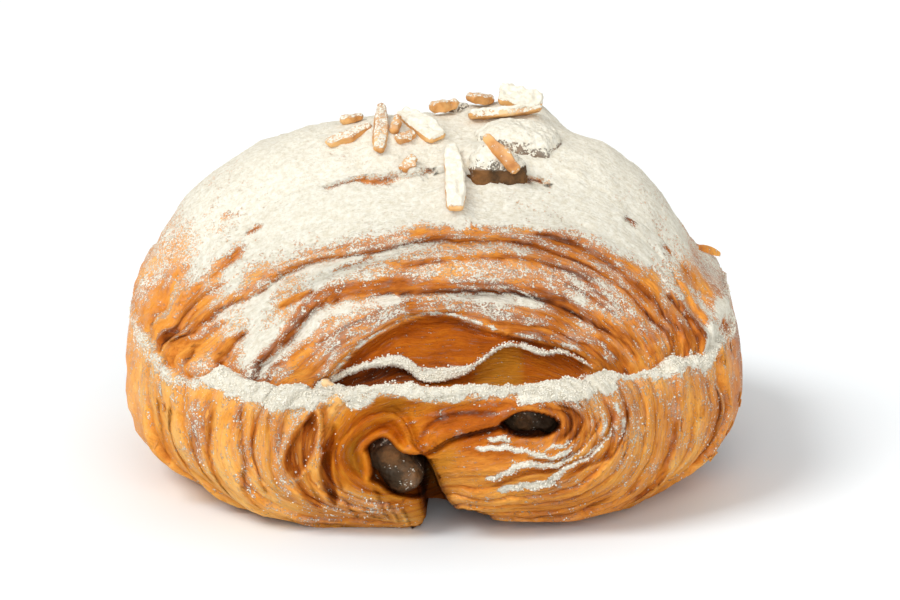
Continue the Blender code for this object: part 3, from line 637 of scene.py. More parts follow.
def sheet_edges(points, across, up, depth, masks):
    """Adds the edges of single sheets, with their hollows and browned places, and masks of the lines and
    hollows that are painted darker as painted shade.
    """
    crease_mask, lifted, nest, speckled, browned = (np.zeros(across.shape) for _ in range(5))
    for places, deep, width, stand in CREASES:
        away, share = beside(across, up, curve(places))
        ends = ease(0, 0.14, share) * (1 - ease(0.82, 1, share))
        under = np.where(away > 0, np.exp(-away / width), bell(away, 0.22)) * (away < 6)
        over = bell(away + 0.75, 0.75) * (away < 0)
        depth = depth + 0.95 * deep * under * ends - stand * over * ends
        # painted shade: a dark line below each edge, which the browning darkens and the sugar leaves bare
        dark = np.exp(-np.where(away > 0, away / (0.55 * width), -away / 0.2))
        crease_mask = np.maximum(crease_mask, np.clip(deep / 1.5, 0, 1) * dark * ends)
        lifted = np.maximum(lifted, stand * bell(away + 0.5, 0.5) * ends)
    for places in HOLLOWS:
        inside = within(across, up, curve(places, closed=True)) + 0.12 * swell(points, 1.4 * MM, 27, 2)
        nest = np.maximum(nest, ease(-0.1, 0.5, inside))
        depth = depth + 1.9 * ease(-0.15, 0.9, inside) - 0.35 * bell(inside + 0.45, 0.4)
    for places, width, brown, dust in SPECKLED:
        away, share = beside(across, up, curve(places))
        near = bell(away, width) * ease(0, 0.12, share) * (1 - ease(0.8, 1, share))
        browned, speckled = np.maximum(browned, brown * near), np.maximum(speckled, dust * near)
    masks.update(crease_mask=crease_mask, lifted=lifted, nest=nest, speckled=speckled, browned=browned)
    return depth


print("edges of sheets:", len(CREASES), "browned places:", len(SPECKLED))

# %% [markdown]
# ## Ribbons on the dome
# Each sheet of the dome ends in a bare brown ribbon that swells and thins as it runs. They were measured on
# a print of the end view with a ruler of 0.19 mm to the step: along, down from the top, and the ribbon's
# width. The dough steps in under each one, and a thin line there is painted darker and bare of sugar as
# painted shade. The crown's thick sugar ends in a ragged line above the first.

# %% Trace the ribbons and work out their depth
RULER_STEP, PRINT_MIDDLE, PRINT_FOOT = 0.19, 435, 525


def traced(places):
    """A smooth line along a ribbon's lower edge, and its width in mm at each measured place."""
    places = np.array(places, float)
    line = np.stack([(places[:, 0] - PRINT_MIDDLE), (PRINT_FOOT - places[:, 1])], axis=-1) * RULER_STEP
    return curve(line)[::2], places[:, 2] * RULER_STEP


RIBBONS = [  # places, browning, sugar on it, depth of the step below it
    ([(180, 364, 5), (191, 351, 6), (202, 340, 7), (214, 328, 8), (226, 317, 7), (240, 308, 6),
      (254, 303, 8), (268, 296, 9), (280, 287, 10), (292, 279, 9), (306, 272, 8), (320, 267, 8),
      (334, 264, 8), (348, 263, 9), (362, 262, 10), (376, 259, 10), (390, 256, 10), (404, 252, 11),
      (420, 249, 12), (440, 247, 12), (460, 248, 14), (480, 248, 14), (500, 248, 11), (520, 251, 9),
      (540, 256, 12), (556, 261, 16), (572, 267, 18), (588, 275, 20), (604, 286, 20), (620, 298, 18),
      (634, 310, 16), (646, 323, 14), (656, 336, 12), (664, 349, 10)], 0.1, 0.34, 1.5),
    ([(402, 274, 2), (414, 272, 4), (436, 268, 5), (455, 266, 5), (475, 265, 5), (495, 264, 4),
      (515, 264, 4), (530, 266, 5), (545, 271, 7), (560, 276, 7), (575, 283, 7), (588, 293, 7),
      (600, 303, 8), (612, 313, 8), (624, 325, 8), (636, 338, 8), (646, 351, 8)], 0.12, 0.34, 1.0),
    ([(258, 382, 3), (266, 374, 5), (275, 363, 6), (285, 351, 7), (295, 340, 8), (304, 329, 9),
      (313, 319, 11), (323, 311, 12), (334, 306, 13), (346, 303, 13), (360, 301, 13), (375, 299, 12),
      (390, 299, 13), (404, 299, 13), (420, 298, 12), (440, 297, 12), (460, 296, 11), (480, 296, 10),
      (500, 297, 10), (515, 299, 10), (530, 303, 10), (545, 308, 10), (560, 314, 10), (575, 321, 11),
      (590, 329, 11), (602, 337, 11), (614, 347, 11), (624, 358, 10), (632, 368, 9)], 0.24, 0.24, 1.9),
    ([(318, 390, 34), (330, 380, 34), (342, 367, 32), (352, 357, 28), (364, 346, 22), (378, 337, 18),
      (392, 329, 16), (406, 323, 14), (420, 319, 13), (440, 317, 13), (460, 317, 12), (475, 320, 12),
      (490, 324, 12), (505, 327, 12), (520, 329, 12), (540, 331, 12), (556, 337, 12), (570, 345, 12),
      (584, 353, 12), (596, 363, 12), (604, 372, 12)], 0.1, 0.36, 0.9),
    ([(505, 341, 5), (520, 343, 7), (535, 345, 8), (548, 347, 8), (560, 351, 8), (572, 358, 8),
      (582, 366, 8), (590, 374, 8)], 0.12, 0.32, 0.7),
    ([(288, 313, 2), (300, 307, 5), (310, 302, 5), (318, 297, 3)], 0.12, 0.15, 0.8),
    ([(336, 279, 1), (350, 274, 2), (364, 269, 2), (376, 262, 4)], 0.05, 0.3, 0.5),
    ([(228, 370, 4), (234, 360, 7), (241, 351, 7), (248, 343, 5), (255, 336, 3)], 0.2, 0.12, 1.2),
    ([(199, 371, 5), (206, 358, 6), (214, 347, 6), (224, 334, 5), (234, 326, 3)], 0.14, 0.24, 1.1),
    ([(176, 356, 5), (183, 342, 6), (191, 328, 6), (202, 314, 6), (216, 300, 5),
      (232, 290, 4)], 0.12, 0.26, 1.1),
    ([(160, 350, 4), (165, 333, 5), (172, 316, 5), (180, 300, 5), (190, 286, 4),
      (202, 273, 3)], 0.1, 0.3, 1.0),
    ([(262, 392, 3), (272, 384, 4), (284, 373, 5), (296, 362, 5), (308, 352, 4),
      (320, 343, 3)], 0.12, 0.36, 0.7),
    ([(560, 290, 3), (580, 300, 4), (600, 313, 4), (618, 329, 5), (634, 347, 5),
      (644, 362, 4)], 0.16, 0.26, 0.8),
    ([(318, 350, 2), (336, 337, 3), (352, 330, 3), (370, 322, 3), (388, 314, 3)], 0.14, 0.25, 0.5),
    ([(528, 241, 2), (545, 244, 3), (560, 249, 3), (576, 256, 4), (590, 262, 4), (602, 269, 4),
      (614, 279, 4), (626, 289, 5), (637, 297, 5), (647, 305, 5), (656, 317, 6), (664, 329, 6),
      (672, 341, 6), (680, 354, 5)], 0.2, 0.26, 1.1),
    ([(660, 300, 4), (668, 310, 5), (676, 322, 6), (684, 335, 6), (692, 348, 5)], 0.2, 0.15, 0.9),
    ([(590, 341, 3), (602, 351, 3), (612, 361, 3), (620, 371, 2)], 0.18, 0.2, 0.6),
    ([(640, 318, 3), (650, 331, 4), (658, 345, 4), (664, 357, 3)], 0.18, 0.2, 0.6),
]
FIRST_RIBBON, THIRD_RIBBON = 0, 2


def dome_ribbons(points, across, up, depth, masks):
    ribbon, ribbon_sugar, ribbon_brown, under_ribbon = (np.zeros(across.shape) for _ in range(4))
    waver = 0.16 * swell(points, 1.6 * MM, 25, 2) + 0.12 * swell(points, 5 * MM, 26)
    for places, brown, dust, deep in RIBBONS:
        line, widths = traced(places)
        away, share = beside(across, up, line, 9.0)
        away = away + waver
        wide = np.interp(share, np.linspace(0, 1, len(widths)), widths)
        ends = ease(0, 0.04, share) * (1 - ease(0.96, 1, share))
        on = ease(-0.14, 0.06, away) * (1 - ease(0.72 * wide, 1.2 * wide + 0.25, away)) * ends
        below = np.where(away < 0, np.exp(away / 1.3), bell(away, 0.2)) * (away > -7) * ends
        above = bell(away - 0.55, 0.6) * (away > 0) * ends
        depth = depth + deep * (0.75 * below - 0.45 * above)
        ribbon, ribbon_sugar = np.maximum(ribbon, on), np.where(on > ribbon, dust, ribbon_sugar)
        ribbon_brown = np.maximum(ribbon_brown, brown * on)
        # a thin line under each ribbon, painted darker and kept bare of sugar as painted shade
        under_ribbon = np.maximum(under_ribbon, deep / 1.9 * bell(away + 0.12, 0.24) * ends)
    masks.update(ribbon=ribbon, ribbon_sugar=ribbon_sugar)
    masks.update(ribbon_brown=ribbon_brown, under_ribbon=under_ribbon)

    away, share = beside(across, up, traced(RIBBONS[THIRD_RIBBON][0])[0], 22.0)
    away_left = away + 0.8 * ease(-6, -18, across) + waver
    masks["far_under"] = ease(-1.3, -2.4, away_left) * (away > -20)
    line, widths = traced(RIBBONS[FIRST_RIBBON][0])
    away, share = beside(across, up, line, 12.0)
    beyond = away - np.interp(share, np.linspace(0, 1, len(widths)), widths)
    fringe = ease(-0.6, 0.2, beyond) * np.exp(-np.clip(beyond, 0, 20) / 2.6)
    masks["fringe"] = fringe * ease(0.1, 0.25, share) * (1 - ease(0.46, 0.6, share))
    over_first = ease(0.5, 1.8, beyond + waver)
    masks["over_first"] = over_first * ease(0.24, 0.32, share) * (1 - ease(0.68, 0.82, share))
    return depth


print("length of the first ribbon in mm:", round(float(np.ptp(traced(RIBBONS[FIRST_RIBBON][0])[0][:, 0]))))

# %% [markdown]
# ## Tears and the crack
# The skin has torn in a few short places, and one long crack runs under the toppings. The crack is only
# drawn here, because the sugar has to be heaped up before it is cut.

# %% Draw the tears and the crack
TEARS = [  # places, width, depth
    ([(-38.6, 55.7), (-35.5, 57.4)], 0.8, 0.9),
    ([(-34.2, 53.4), (-31.5, 55.5)], 0.8, 1.0),
    ([(-42, 44.3), (-38, 48.2), (-34.2, 51.7)], 1.3, 1.2),
    ([(-47, 37), (-45, 41), (-42, 45)], 1.0, 1.0),
    ([(-54.8, 42.4), (-53.4, 43.4)], 1.6, 1.2),
    ([(34, 56.8), (36.7, 54.9)], 0.8, 0.9),
    ([(41.8, 51.9), (43.5, 50)], 0.7, 0.8),
    ([(45.4, 48.1), (48.5, 44.7)], 0.9, 1.0),
    ([(52.2, 37.9), (54.8, 36.8)], 0.7, 1.0),
    ([(52.2, 31.9), (53, 30.2)], 0.8, 1.1),
]
SPLIT_LINE = curve([(-24, 60.2), (-20.5, 62.1), (-15.4, 63.8), (-9.6, 63.7), (-5.2, 64.7), (0, 65.4),
    (3.5, 65.6), (8, 64.2), (12.4, 63.9), (16.3, 64.3), (19.7, 63.6), (24, 61.2)])


def torn_places(across, up, depth, masks):
    tears = np.zeros(across.shape)
    for places, width, deep in TEARS:
        away, share = beside(across, up, curve(places))
        shape = bell(away, width * 0.55) * ease(0, 0.25, share) * (1 - ease(0.75, 1, share))
        depth = depth + deep * shape
        tears = np.maximum(tears, shape)
    masks["tears"] = tears
    return depth


print("tears:", len(TEARS), "crack from", SPLIT_LINE[0], "to", SPLIT_LINE[-1])

# %% [markdown]
# ## Torn layers
# On the dome each layer overlaps the one inside it, as roof tiles do: a lip stands out at its lower edge and
# throws a dark line, which is also painted darker as painted shade, then its surface runs back and catches
# sugar. Below the ledge the layers lie in broad ribs with finer lines, and the valleys between the ribs are
# painted darker as painted shade. Some layers tore wide open and some hardly show, so each has its own
# strength and sugar. A torn edge is never a clean line, so the layer number itself is made ragged first.

# %% Relief of the layers
DOME_STEP = 1.7 * MM
CROWN_STEP = 0.35 * MM
RIB_RELIEF = 0.85 * MM
# for each layer, from the cores outwards
LIP_STRENGTH = np.array([
    0.3, 0.3, 0.3, 0.4, 0.4, 0.5, 0.6, 0.8, 0.5, 0.7, 1.15, 0.55, 0.45, 1.05, 0.4, 0.25, 0.1,
])
SUGAR_SHARE = np.array([
    0.5, 0.5, 0.5, 0.5, 0.5, 0.5, 0.55, 0.75, 0.45, 0.65, 0.95, 0.85, 0.95, 0.8, 1.0, 1.0, 1.0,
])
RIB_EDGES = np.array([-1.0, 1.0, 2.6, 4.1, 5.7, 7.9, 9.2, 10.7, 12.2, 13.6, 15.0, 16.2])


def stretched(points, layers, across=1.0, along=7.0):
    """Places for a swell that changes fast from layer to layer and slowly along a layer, in mm."""
    slant = points[..., 2] + 0.6 * points[..., 1]
    return np.stack([layers * across, points[..., 0] / MM / along, slant / MM / along], axis=-1)


def dome_lips(points, number, phase, sides, on_crown, seed):
    """Relief of the lips on the dome, and how strong each lip is."""
    lip = LIP_STRENGTH[number] * (0.85 + 0.5 * swell(stretched(points, number * 1.7, 1, 16), 1, seed + 9))
    lip = lip * (1 - 0.5 * sides) + np.where(points[..., 0] < 0, 0.4, 0.24) * sides
    profile = ease(0, 0.1, phase) * (1 - 0.95 * ease(0.12, 1, phase))
    groove = 0.35 * bell(1 - phase, 0.07) + 0.25 * bell(phase, 0.05)
    step = DOME_STEP + (CROWN_STEP - DOME_STEP) * on_crown
    beyond_ribbons = 0.3 + 0.7 * ease(38 * MM, 50 * MM, np.abs(points[..., 0]))
    return step * np.clip(lip, 0.05, 2) * (profile - groove) * beyond_ribbons, lip


def drum_ribs(points, layers, ragged, seed):
    """Relief of the ribs below the ledge, with each place's rib and how far into the rib it is."""
    number = np.clip(np.searchsorted(RIB_EDGES, ragged, side="right") - 1, 0, len(RIB_EDGES) - 2)
    low, high = RIB_EDGES[number], RIB_EDGES[number + 1]
    phase = np.clip((ragged - low) / (high - low), 0, 1)
    rib = ease(0, 0.13, phase) * (1.15 - 0.85 * phase) + 0.35 * (1 - np.abs(2 * phase - 1) ** 2.6)
    height = RIB_RELIEF * (0.75 + 0.75 * swell(stretched(points, number * 2.3, 1, 12), 1, seed + 2))
    right_side = ease(-10 * MM, 20 * MM, points[..., 0])
    lines = 0.16 * MM * swell(stretched(points, layers, 1.7, 5), 1, seed + 3, 2) * (1 + 1.2 * right_side)
    broad = 0.45 * MM * swell(stretched(points, layers, 0.35, 11), 1, seed + 11)
    return height * rib + lines + broad, number, phase


def skin_roughness(points, on_crown, seed):
    rough = 0.3 * MM * swell(points, 9 * MM, seed + 6, 2) + 0.11 * MM * swell(points, 1.2 * MM, seed + 7, 2)
    clumps = 0.2 * MM * np.clip(swell(points, 2.0 * MM, seed + 12, 2), -0.3, 2) * on_crown
    return rough + clumps + 0.22 * MM * swell(points, 4.5 * MM, seed + 13) * on_crown


def layer_relief(points, z, layers, rise, end):
    """How far the layers stand out in metres, and masks of their lips, grooves and valleys; the grooves and
    valleys are painted darker as painted shade.
    """
    seed = 20 + end
    sides = ease(22 * MM, 42 * MM, np.abs(points[..., 0]))
    ragged = layers + 0.1 * swell(points, 1.3 * MM, seed, 2)
    ragged = ragged + 0.1 * (1 - 0.7 * sides) * swell(points, 5 * MM, seed + 5)
    ragged = np.where(layers > 0, np.clip(ragged, 0, LAYER_COUNT + 0.99), layers)
    number = np.clip(np.floor(ragged), 0, LAYER_COUNT).astype(int)
    phase = np.clip(ragged - number, 0, 1)
    on_crown = ease(56 * MM, 62 * MM, z)
    on_dome = ease(-0.2, 0.7, rise)
    cored = ease(-0.6, 0.4, layers)
    side = ease(LAYER_COUNT - 0.6, LAYER_COUNT + 0.3, layers)
    dome, lip = dome_lips(points, number, phase, sides, on_crown, seed)
    drum, rib_number, rib_phase = drum_ribs(points, layers, ragged, seed)
    fine = 0.3 * MM * swell(stretched(points, layers, 3.0, 5), 1, seed + 4, 2) * (1 - 0.8 * on_crown)
    relief = (dome + fine) * on_dome + drum * (1 - on_dome)
    wrinkles = 0.28 * MM * swell(points * (1, 0.22, 1), 2.6 * MM, seed + 8, 2)
    relief = relief * cored * (1 - side) + skin_roughness(points, on_crown, seed) + wrinkles * side
    masks = dict(phase=phase, number=number, rib_number=rib_number, on_dome=on_dome)
    masks.update(cored=cored, ragged=ragged)
    masks["lip"] = np.clip(lip, 0, 1.3) * ease(0.02, 0.08, phase) * (1 - ease(0.18, 0.46, phase))
    # the dark line under each lip and the valleys between ribs: the browning paints both darker as painted
    # shade
    masks["groove"] = bell(1 - phase, 0.09) * np.clip(lip, 0, 1)
    masks["valley"] = 1 - ease(0, 0.2, np.minimum(1.6 * rib_phase, 1 - rib_phase))
    return relief, masks


print("deepest step between two layers in mm:", DOME_STEP / MM)

# %% [markdown]
# ## Shaping the dough
# The rows are set on the smooth form, the layers are raised along its normals, and the drawn shapes are
# pushed in. The gap between the rolls is stopped at a back wall, so that light falls through it onto the
# table. The underside is flat, because the dough rested on a tray.

# %% Helpers for shaping
GAP_WALL = 22 * MM
# the smooth dough round the sticks, where no layers show
QUIET_FACE = curve([(-19.5, 9), (-20.5, 15), (-17.5, 21.5), (-10, 24.5), (0, 23.5), (9, 24),
    (20, 23.6), (27, 21), (27.5, 15), (22, 9.5), (14, 6.5), (6, 7.5), (0, 3), (-3, 1), (-8, 4.5),
    (-14, 6.5)], closed=True)
# the line on which the dough leaves the table, at each side of the gap
FOOT_LINE = curve([(-43, 4.2), (-37, 2.5), (-31.4, 2.1), (-25.7, 1), (-21, -0.4), (-10, -0.6),
    (6.5, 2.2), (9.5, 2), (12.4, 1.4), (20, 1.2), (25.7, 1.3), (29.5, 2.2), (33, 3), (37, 3.4), (40, 4.4),
    (43, 5.7)])


def grid_normals(points, end):
    down = np.gradient(points, axis=0)
    around = np.roll(points, -1, axis=1) - np.roll(points, 1, axis=1)
    normals = np.cross(around, down) * -end
    length = np.linalg.norm(normals, axis=-1, keepdims=True)
    return normals / np.maximum(length, 1e-12)


def smoothed(values, times):
    for _ in range(times):
        values = (values + np.roll(values, 1, axis=1) + np.roll(values, -1, axis=1)) / 3
        values[1:-1] = (values[1:-1] + values[2:] + values[:-2]) / 3
    return values


def face_shapes(points, end):
    """Depths in mm of all the drawn shapes of one end face, and the masks that its colours need."""
    across, up = drawn_place(points, end)
    if end > 0:  # nobody knows the back end, so it is drawn a little differently
        across, up = across + 1.2 * np.sin(up / 6 + 1), up + 0.9 * np.sin(across / 7)
    masks = {"across": across, "up": up}
    depth = mouth_shape(across, up, masks)
    depth = left_roll_shape(across, up, depth, masks)
    depth = right_roll_shape(across, up, depth, masks)
    depth = sheet_edges(points, across, up, depth, masks)
    depth = dome_ribbons(points, across, up, depth, masks)
    depth = torn_places(across, up, depth, masks)
    return depth * ease(-2, 6, end * points[..., 1] / MM - 8), masks


print("the gap's back wall stands", GAP_WALL / MM, "mm from the middle")

# %% [markdown]
# ## Both ends in turn
# The layers and bulges come first, then the crumbs on the rim, then all that is pushed in, and last the
# foot, which draws back from the table.

# %% Shape both ends of the dough
RIM_BACKING, RIM_GROOVE = 1.3 * MM, 1.1 * MM


def raise_rim(points, drawn, rise, above_foot):
    """Relief of the rim's crumbs, and masks of the dough behind and the groove between."""
    on_ledge = ease(-0.4, 0.3, above_foot) * (1 - ease(-0.5, 0.1, rise))
    crumbs = 0.45 + 0.45 * swell(points, 2.2 * MM, 71, 2) + 0.4 * swell(points, 0.8 * MM, 72)
    outside_mouth = 1 - drawn["mouth_zone"]
    at_sides = ease(46 * MM, 54 * MM, np.abs(points[..., 0]))
    # the groove behind the rim is sunk, and the browning also paints it darker as painted shade
    behind = bell(rise - 0.25, 0.42) * outside_mouth * (1 - 0.75 * at_sides)
    fill = ease(0.3, 2.2, rise) * (1 - ease(4.5, 8.5, rise)) * outside_mouth
    return 0.75 * MM * on_ledge * np.clip(crumbs, 0, 1.2), fill, behind


def push_in(points, depth, end):
    """Moves the points in along the line of sight, as far as the gap's back wall at most."""
    room = np.clip(np.abs(points[..., 1]) - GAP_WALL, 0, None)[..., None]
    push = depth[..., None] * MM * inward(end)
    length = np.linalg.norm(push, axis=-1, keepdims=True)
    share = room / np.maximum(length * math.cos(LOOK_DOWN), 1e-9) + (length < 12 * MM)
    return points + push * np.minimum(1, share)


def draw_back_foot(points, end):
    """Draws the foot back from the table, and flattens the underside."""
    across, up = drawn_place(points, end)
    short = np.clip(line_height(FOOT_LINE, across) - up, 0, 5)
    short = short * ease(-45, -40, across) * ease(47, 42, across)
    short = short * np.maximum(ease(-18, -22, across), ease(6, 8.5, across))
    short = short * (np.abs(points[..., 1]) > 15 * MM)
    points[..., 1] -= end * 0.9 * short * MM / math.sin(LOOK_DOWN)
    points[..., 2] = np.maximum(points[..., 2], 0)


def shape_end(end):
    x, z, layers = grids[end]
    points, fold = bare_surface(x, z, end)
    outward = grid_normals(points, end)
    flip = np.sum(outward * (points - (0, 0, BELT_HEIGHT)), axis=-1, keepdims=True) < 0
    outward = smoothed(np.where(flip, -outward, outward), 3)
    rise, above_foot = rim_places(points, fold, end)
    relief, masks = layer_relief(points, z, layers, rise, end)
    depth, drawn = face_shapes(points, end)
    quiet = ease(-0.8, 1.4, within(drawn["across"], drawn["up"], QUIET_FACE))
    quiet = quiet * (np.abs(points[..., 1]) > 25 * MM)
    quiet = np.maximum(quiet, 0.85 * drawn["mouth_zone"])
    relief = relief * (1 - 0.9 * quiet)
    for middle, spread, height in BULGES:
        away = np.sum((points - np.multiply(middle, MM)) ** 2, axis=-1)
        relief = relief + height * MM * np.exp(-away / (spread * MM) ** 2)
    crumbs, fill, behind = raise_rim(points, drawn, rise, above_foot)
    relief = relief + crumbs + RIM_BACKING * fill - RIM_GROOVE * behind
    points = points + outward * relief[..., None]
    points = push_in(points, depth, end)
    draw_back_foot(points, end)
    masks.update(drawn)
    masks.update(behind=behind, quiet=quiet, layers=layers, z=z, rise=rise, above_foot=above_foot)
    return points, masks


ends = {end: shape_end(end) for end in (-1, 1)}
for end, (points, _) in ends.items():
    print("end", end, "size in mm:", np.round(np.ptp(points.reshape(-1, 3), axis=0) / MM, 1))

# %% [markdown]
# ## Drifts of sugar round the toppings
# The toppings were set on the dough while it was wet, and the sieved sugar has filled the spaces between and
# below them. A line is sent straight up from each point of the crown. Where it meets the underside of a
# topping, the surface is raised to it, and slopes off around it as loose sugar does.

# %% Raise the sugar to the toppings
DRIFT_SLOPE = 0.75
DRIFT_LIMIT = 5.0 * MM
FRONT_LIMIT = 2.0 * MM  # the front toppings lie beside the crack, where less sugar has stayed
START_BELOW = 1.5 * MM
TOPPINGS = [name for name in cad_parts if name.startswith(("almond", "chocolate_chunk"))]


def topping_trees():
    trees = []
    for name in TOPPINGS:
        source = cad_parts[name]
        corners = [source.matrix_world @ corner.co for corner in source.data.vertices]
        trees.append(BVHTree.FromPolygons(corners, [tuple(face.vertices) for face in source.data.polygons]))
    return trees


def drift_height(points, z, trees):
    """How far the sugar is raised at each point of one end."""
    raised = np.zeros(points.shape[:2])
    for row, column in np.argwhere((z > 50 * MM) & (np.abs(points[..., 0] - 6 * MM) < 32 * MM)):
        start = Vector(points[row, column]) - Vector((0, 0, START_BELOW))
        limit = FRONT_LIMIT if points[row, column, 1] < -14 * MM else DRIFT_LIMIT
        for tree in trees:
            place, normal, _, distance = tree.ray_cast(start, Vector((0, 0, 1)), 9 * MM)
            if place is not None and normal.z < 0 and distance - START_BELOW < limit:
                raised[row, column] = max(raised[row, column], distance - START_BELOW + 0.5 * MM)
    raised = np.clip(raised, 0, DRIFT_LIMIT)
    for _ in range(16):
        for shift, axis in ((1, 0), (-1, 0), (1, 1), (-1, 1)):
            gap = np.linalg.norm(points - np.roll(points, shift, axis=axis), axis=-1)
            beside_it = np.roll(raised, shift, axis=axis) - DRIFT_SLOPE * gap
            if axis == 0:
                beside_it[0 if shift == 1 else -1] = 0
            raised = np.maximum(raised, beside_it)
    return smoothed(raised, 2)


trees = topping_trees()
for end in (-1, 1):
    points, masks = ends[end]
    drift = drift_height(points, masks["z"], trees)
    masks["drift"] = ease(0.1 * MM, 0.5 * MM, drift)
    points[..., 2] += drift * (0.9 + 0.12 * swell(points, 1.5 * MM, 81, 2))
    print("end", end, "highest drift in mm:", round(float(drift.max()) / MM, 1))

# %% [markdown]
# ## The crack in the crown
# Under the toppings the outer sheet has split. The crack is cut after the sugar has been raised, so that it
# stays where it is drawn. It gapes most at the left, where golden dough shows, and beside the lump.

# %% Cut the crack
def crack_opening(across, share):
    opening = 0.2 + 1.35 * bell(across + 7.5, 7.5) + 0.8 * bell(across - 17.5, 3.2)
    return opening * ease(0, 0.15, share) * (1 - ease(0.88, 1, share))


for end in (-1, 1):
    points, masks = ends[end]
    across, up = drawn_place(points, end)
    away, share = beside(across, up, SPLIT_LINE)
    opening = crack_opening(across, share) * (end < 0)
    away = away + 0.12 * np.sin(across * 1.9) + 0.15 * swell(points, 1.4 * MM, 83, 2)
    split = ease(0.55 * opening + 0.12, 0.55 * opening - 0.14, np.abs(away)) * ease(0.05, 0.3, opening)
    lip = bell(away - 0.55 * opening - 0.45, 0.4) * ease(0.1, 0.5, opening) * (away > 0)
    points += ((1.5 + 1.7 * ease(3, 8, across)) * split - 0.6 * lip)[..., None] * MM * inward(end)
    masks["split"] = split
    print("end", end, "crack points:", int((split > 0.5).sum()))

# %% [markdown]
# ## Where the sugar lies
# Sugar is sieved on from above, so it stays on faces that look up, thickest on the rim and the crown, and
# lies on the treads of the layers. It is worked out once for each point and kept in the mesh, so that the
# material can read it.

# %% Sugar on the dome, the drum and the rim
SUGAR_BLOBS = ((53, 40, 5.5), (51, 34.5, 5))  # two clumps at the right: across, up, spread


def sugar_on_dome(m):
    """Full on the crown, caught on the tread of each layer, and a fine dust on the brown edges."""
    x, across, up = m.x, m.across, m.up
    middle, small, streaks = m.middle, m.small, m.streaks
    crown = ease(13.1, 14.2, m.ragged + 0.5 * middle + 0.25 * small) * ease(38, 47, m.height)
    crown = np.maximum(crown, 0.96 * m.over_first)
    layered = 0.26 + 0.44 * SUGAR_SHARE[m.number] * ease(0.14, 0.5, m.phase) * (0.85 + 0.5 * middle)
    tread = 0.82 + 0.26 * middle + 0.16 * streaks
    tread = tread - 0.28 * ease(2, 16, across) - 0.12 * ease(20, 36, across)
    tread = tread - 0.3 * ease(-35, -41, across) * ease(52, 44, up)
    tread = tread - 0.52 * m.far_under - 0.12 * ease(0.2, 0.6, small)
    tread = tread * (1 - m.ribbon) + (m.ribbon_sugar + 0.08 * small + 0.06 * middle) * m.ribbon
    layered = layered + (tread - layered) * ease(50, 44, x)
    dome = layered * (1 - crown) + 1.05 * crown
    dome = dome * (1 - 0.26 * ease(24, 42, x) * (1 - 0.5 * crown)) * (0.7 + 0.3 * m.settle)
    dome = dome * (1 - 0.4 * ease(-40, -48, across) * ease(62, 54, up))
    dome = dome + 0.14 * middle + 0.08 * small + 0.14 * streaks * (1 - crown)
    dome = dome * (1 - 0.45 * np.clip(m.lip, 0, 1) * ease(38, 50, x)) * (1 - 0.8 * m.behind)
    dome = dome * (1 - 0.85 * m.under_ribbon) * (1 - 0.65 * m.ribbon * crown)
    return dome * (1 - (0.5 + 0.12 * middle) * m.fringe)


def sugar_on_drum(m):
    """A thin dust that falls off below the rim, with more of it on the browned edges."""
    drum = 0.13 + 0.2 * np.exp(-np.clip(-m.above_foot, 0, 40) / 2.5) + 0.07 * m.middle + 0.09 * m.streaks
    drum = drum + 0.03 * ease(-10, 25, m.across)
    return np.maximum(drum, 0.08 + 0.74 * m.speckled + 0.06 * m.small)


def sugar_on_rim(m):
    """A thick line between the rim's two drawn lines, thinner at the sides."""
    small, middle = m.small, m.middle
    upper = 1 - ease(-0.35, 0.25, m.rise + 0.35 * small)
    lower = ease(-0.45, 0.25, m.above_foot + 0.8 * small + 0.5 * middle)
    sides = ease(49, 54, m.x)
    rim = upper * lower * (1.1 + 0.25 * small + 0.15 * middle - 0.62 * sides + 0.25 * middle * sides)
    return rim * (1 - (0.3 + 0.3 * small) * ease(-38, -45, m.across))


def sugar_cover(m, end):
    across, up, small, middle = m.across, m.up, m.small, m.middle
    cover = np.where(m.rise > 0, sugar_on_dome(m), sugar_on_drum(m))
    blobs = sum(np.exp(-((across - x) ** 2 + (up - y) ** 2) / spread) for x, y, spread in SUGAR_BLOBS)
    cover = np.maximum(cover, m.rim_sugar)
    cover = np.maximum(cover, 1.1 * ease(0.3, 0.6, (blobs + 0.2 * small) * (end < 0)))
    cover = np.where((m.quiet > 0.5) & (m.above_foot < 0), np.minimum(cover, 0.05), cover)
    lips = np.maximum(1.2 * m.mouth_lip - 0.3 * ease(-6, -12, across), 0.8 * m.mouth_top)
    lips = np.clip(lips - 0.1, 0, 1) + 0.3 * small + 0.16 * middle
    cover = np.maximum(cover * (1 - 0.9 * m.bare), 0.95 * ease(0.22, 0.85, lips))
    cover = cover * (1 - 0.96 * m.smooth_dough)
    cover = np.maximum(cover, ease(0.22, 0.7, m.smiles + 0.22 * small))
    cover = cover * (1 - 0.85 * np.clip(m.tears + 0.8 * m.split, 0, 1))
    # the lines under the lips and the sheet-edge creases lose their sugar, so the painted shade in them shows
    cover = cover * (1 - 0.75 * m.groove * m.on_dome * ease(38, 50, m.x))
    cover = cover * (1 - 0.85 * m.crease_mask)
    cover = np.maximum(cover, m.drift * (0.9 + 0.25 * middle))
    underside = ease(0, -0.5, m.facing_up) * ease(12, 4, m.height)
    return cover * (1 - 0.92 * m.nest) * (1 - 0.6 * underside)


print("clumps of sugar at the right:", len(SUGAR_BLOBS))

# %% [markdown]
# ## How brown the crust is
# Torn lips and thin edges stick out into the oven's heat and brown first. The ribs on the left stay golden,
# the streaks on the right are browner, and deep places, creases and grooves are painted darker as painted
# shade.

# %% Browning
DRUM_BAKE, DOME_BAKE = 0.17, 0.4


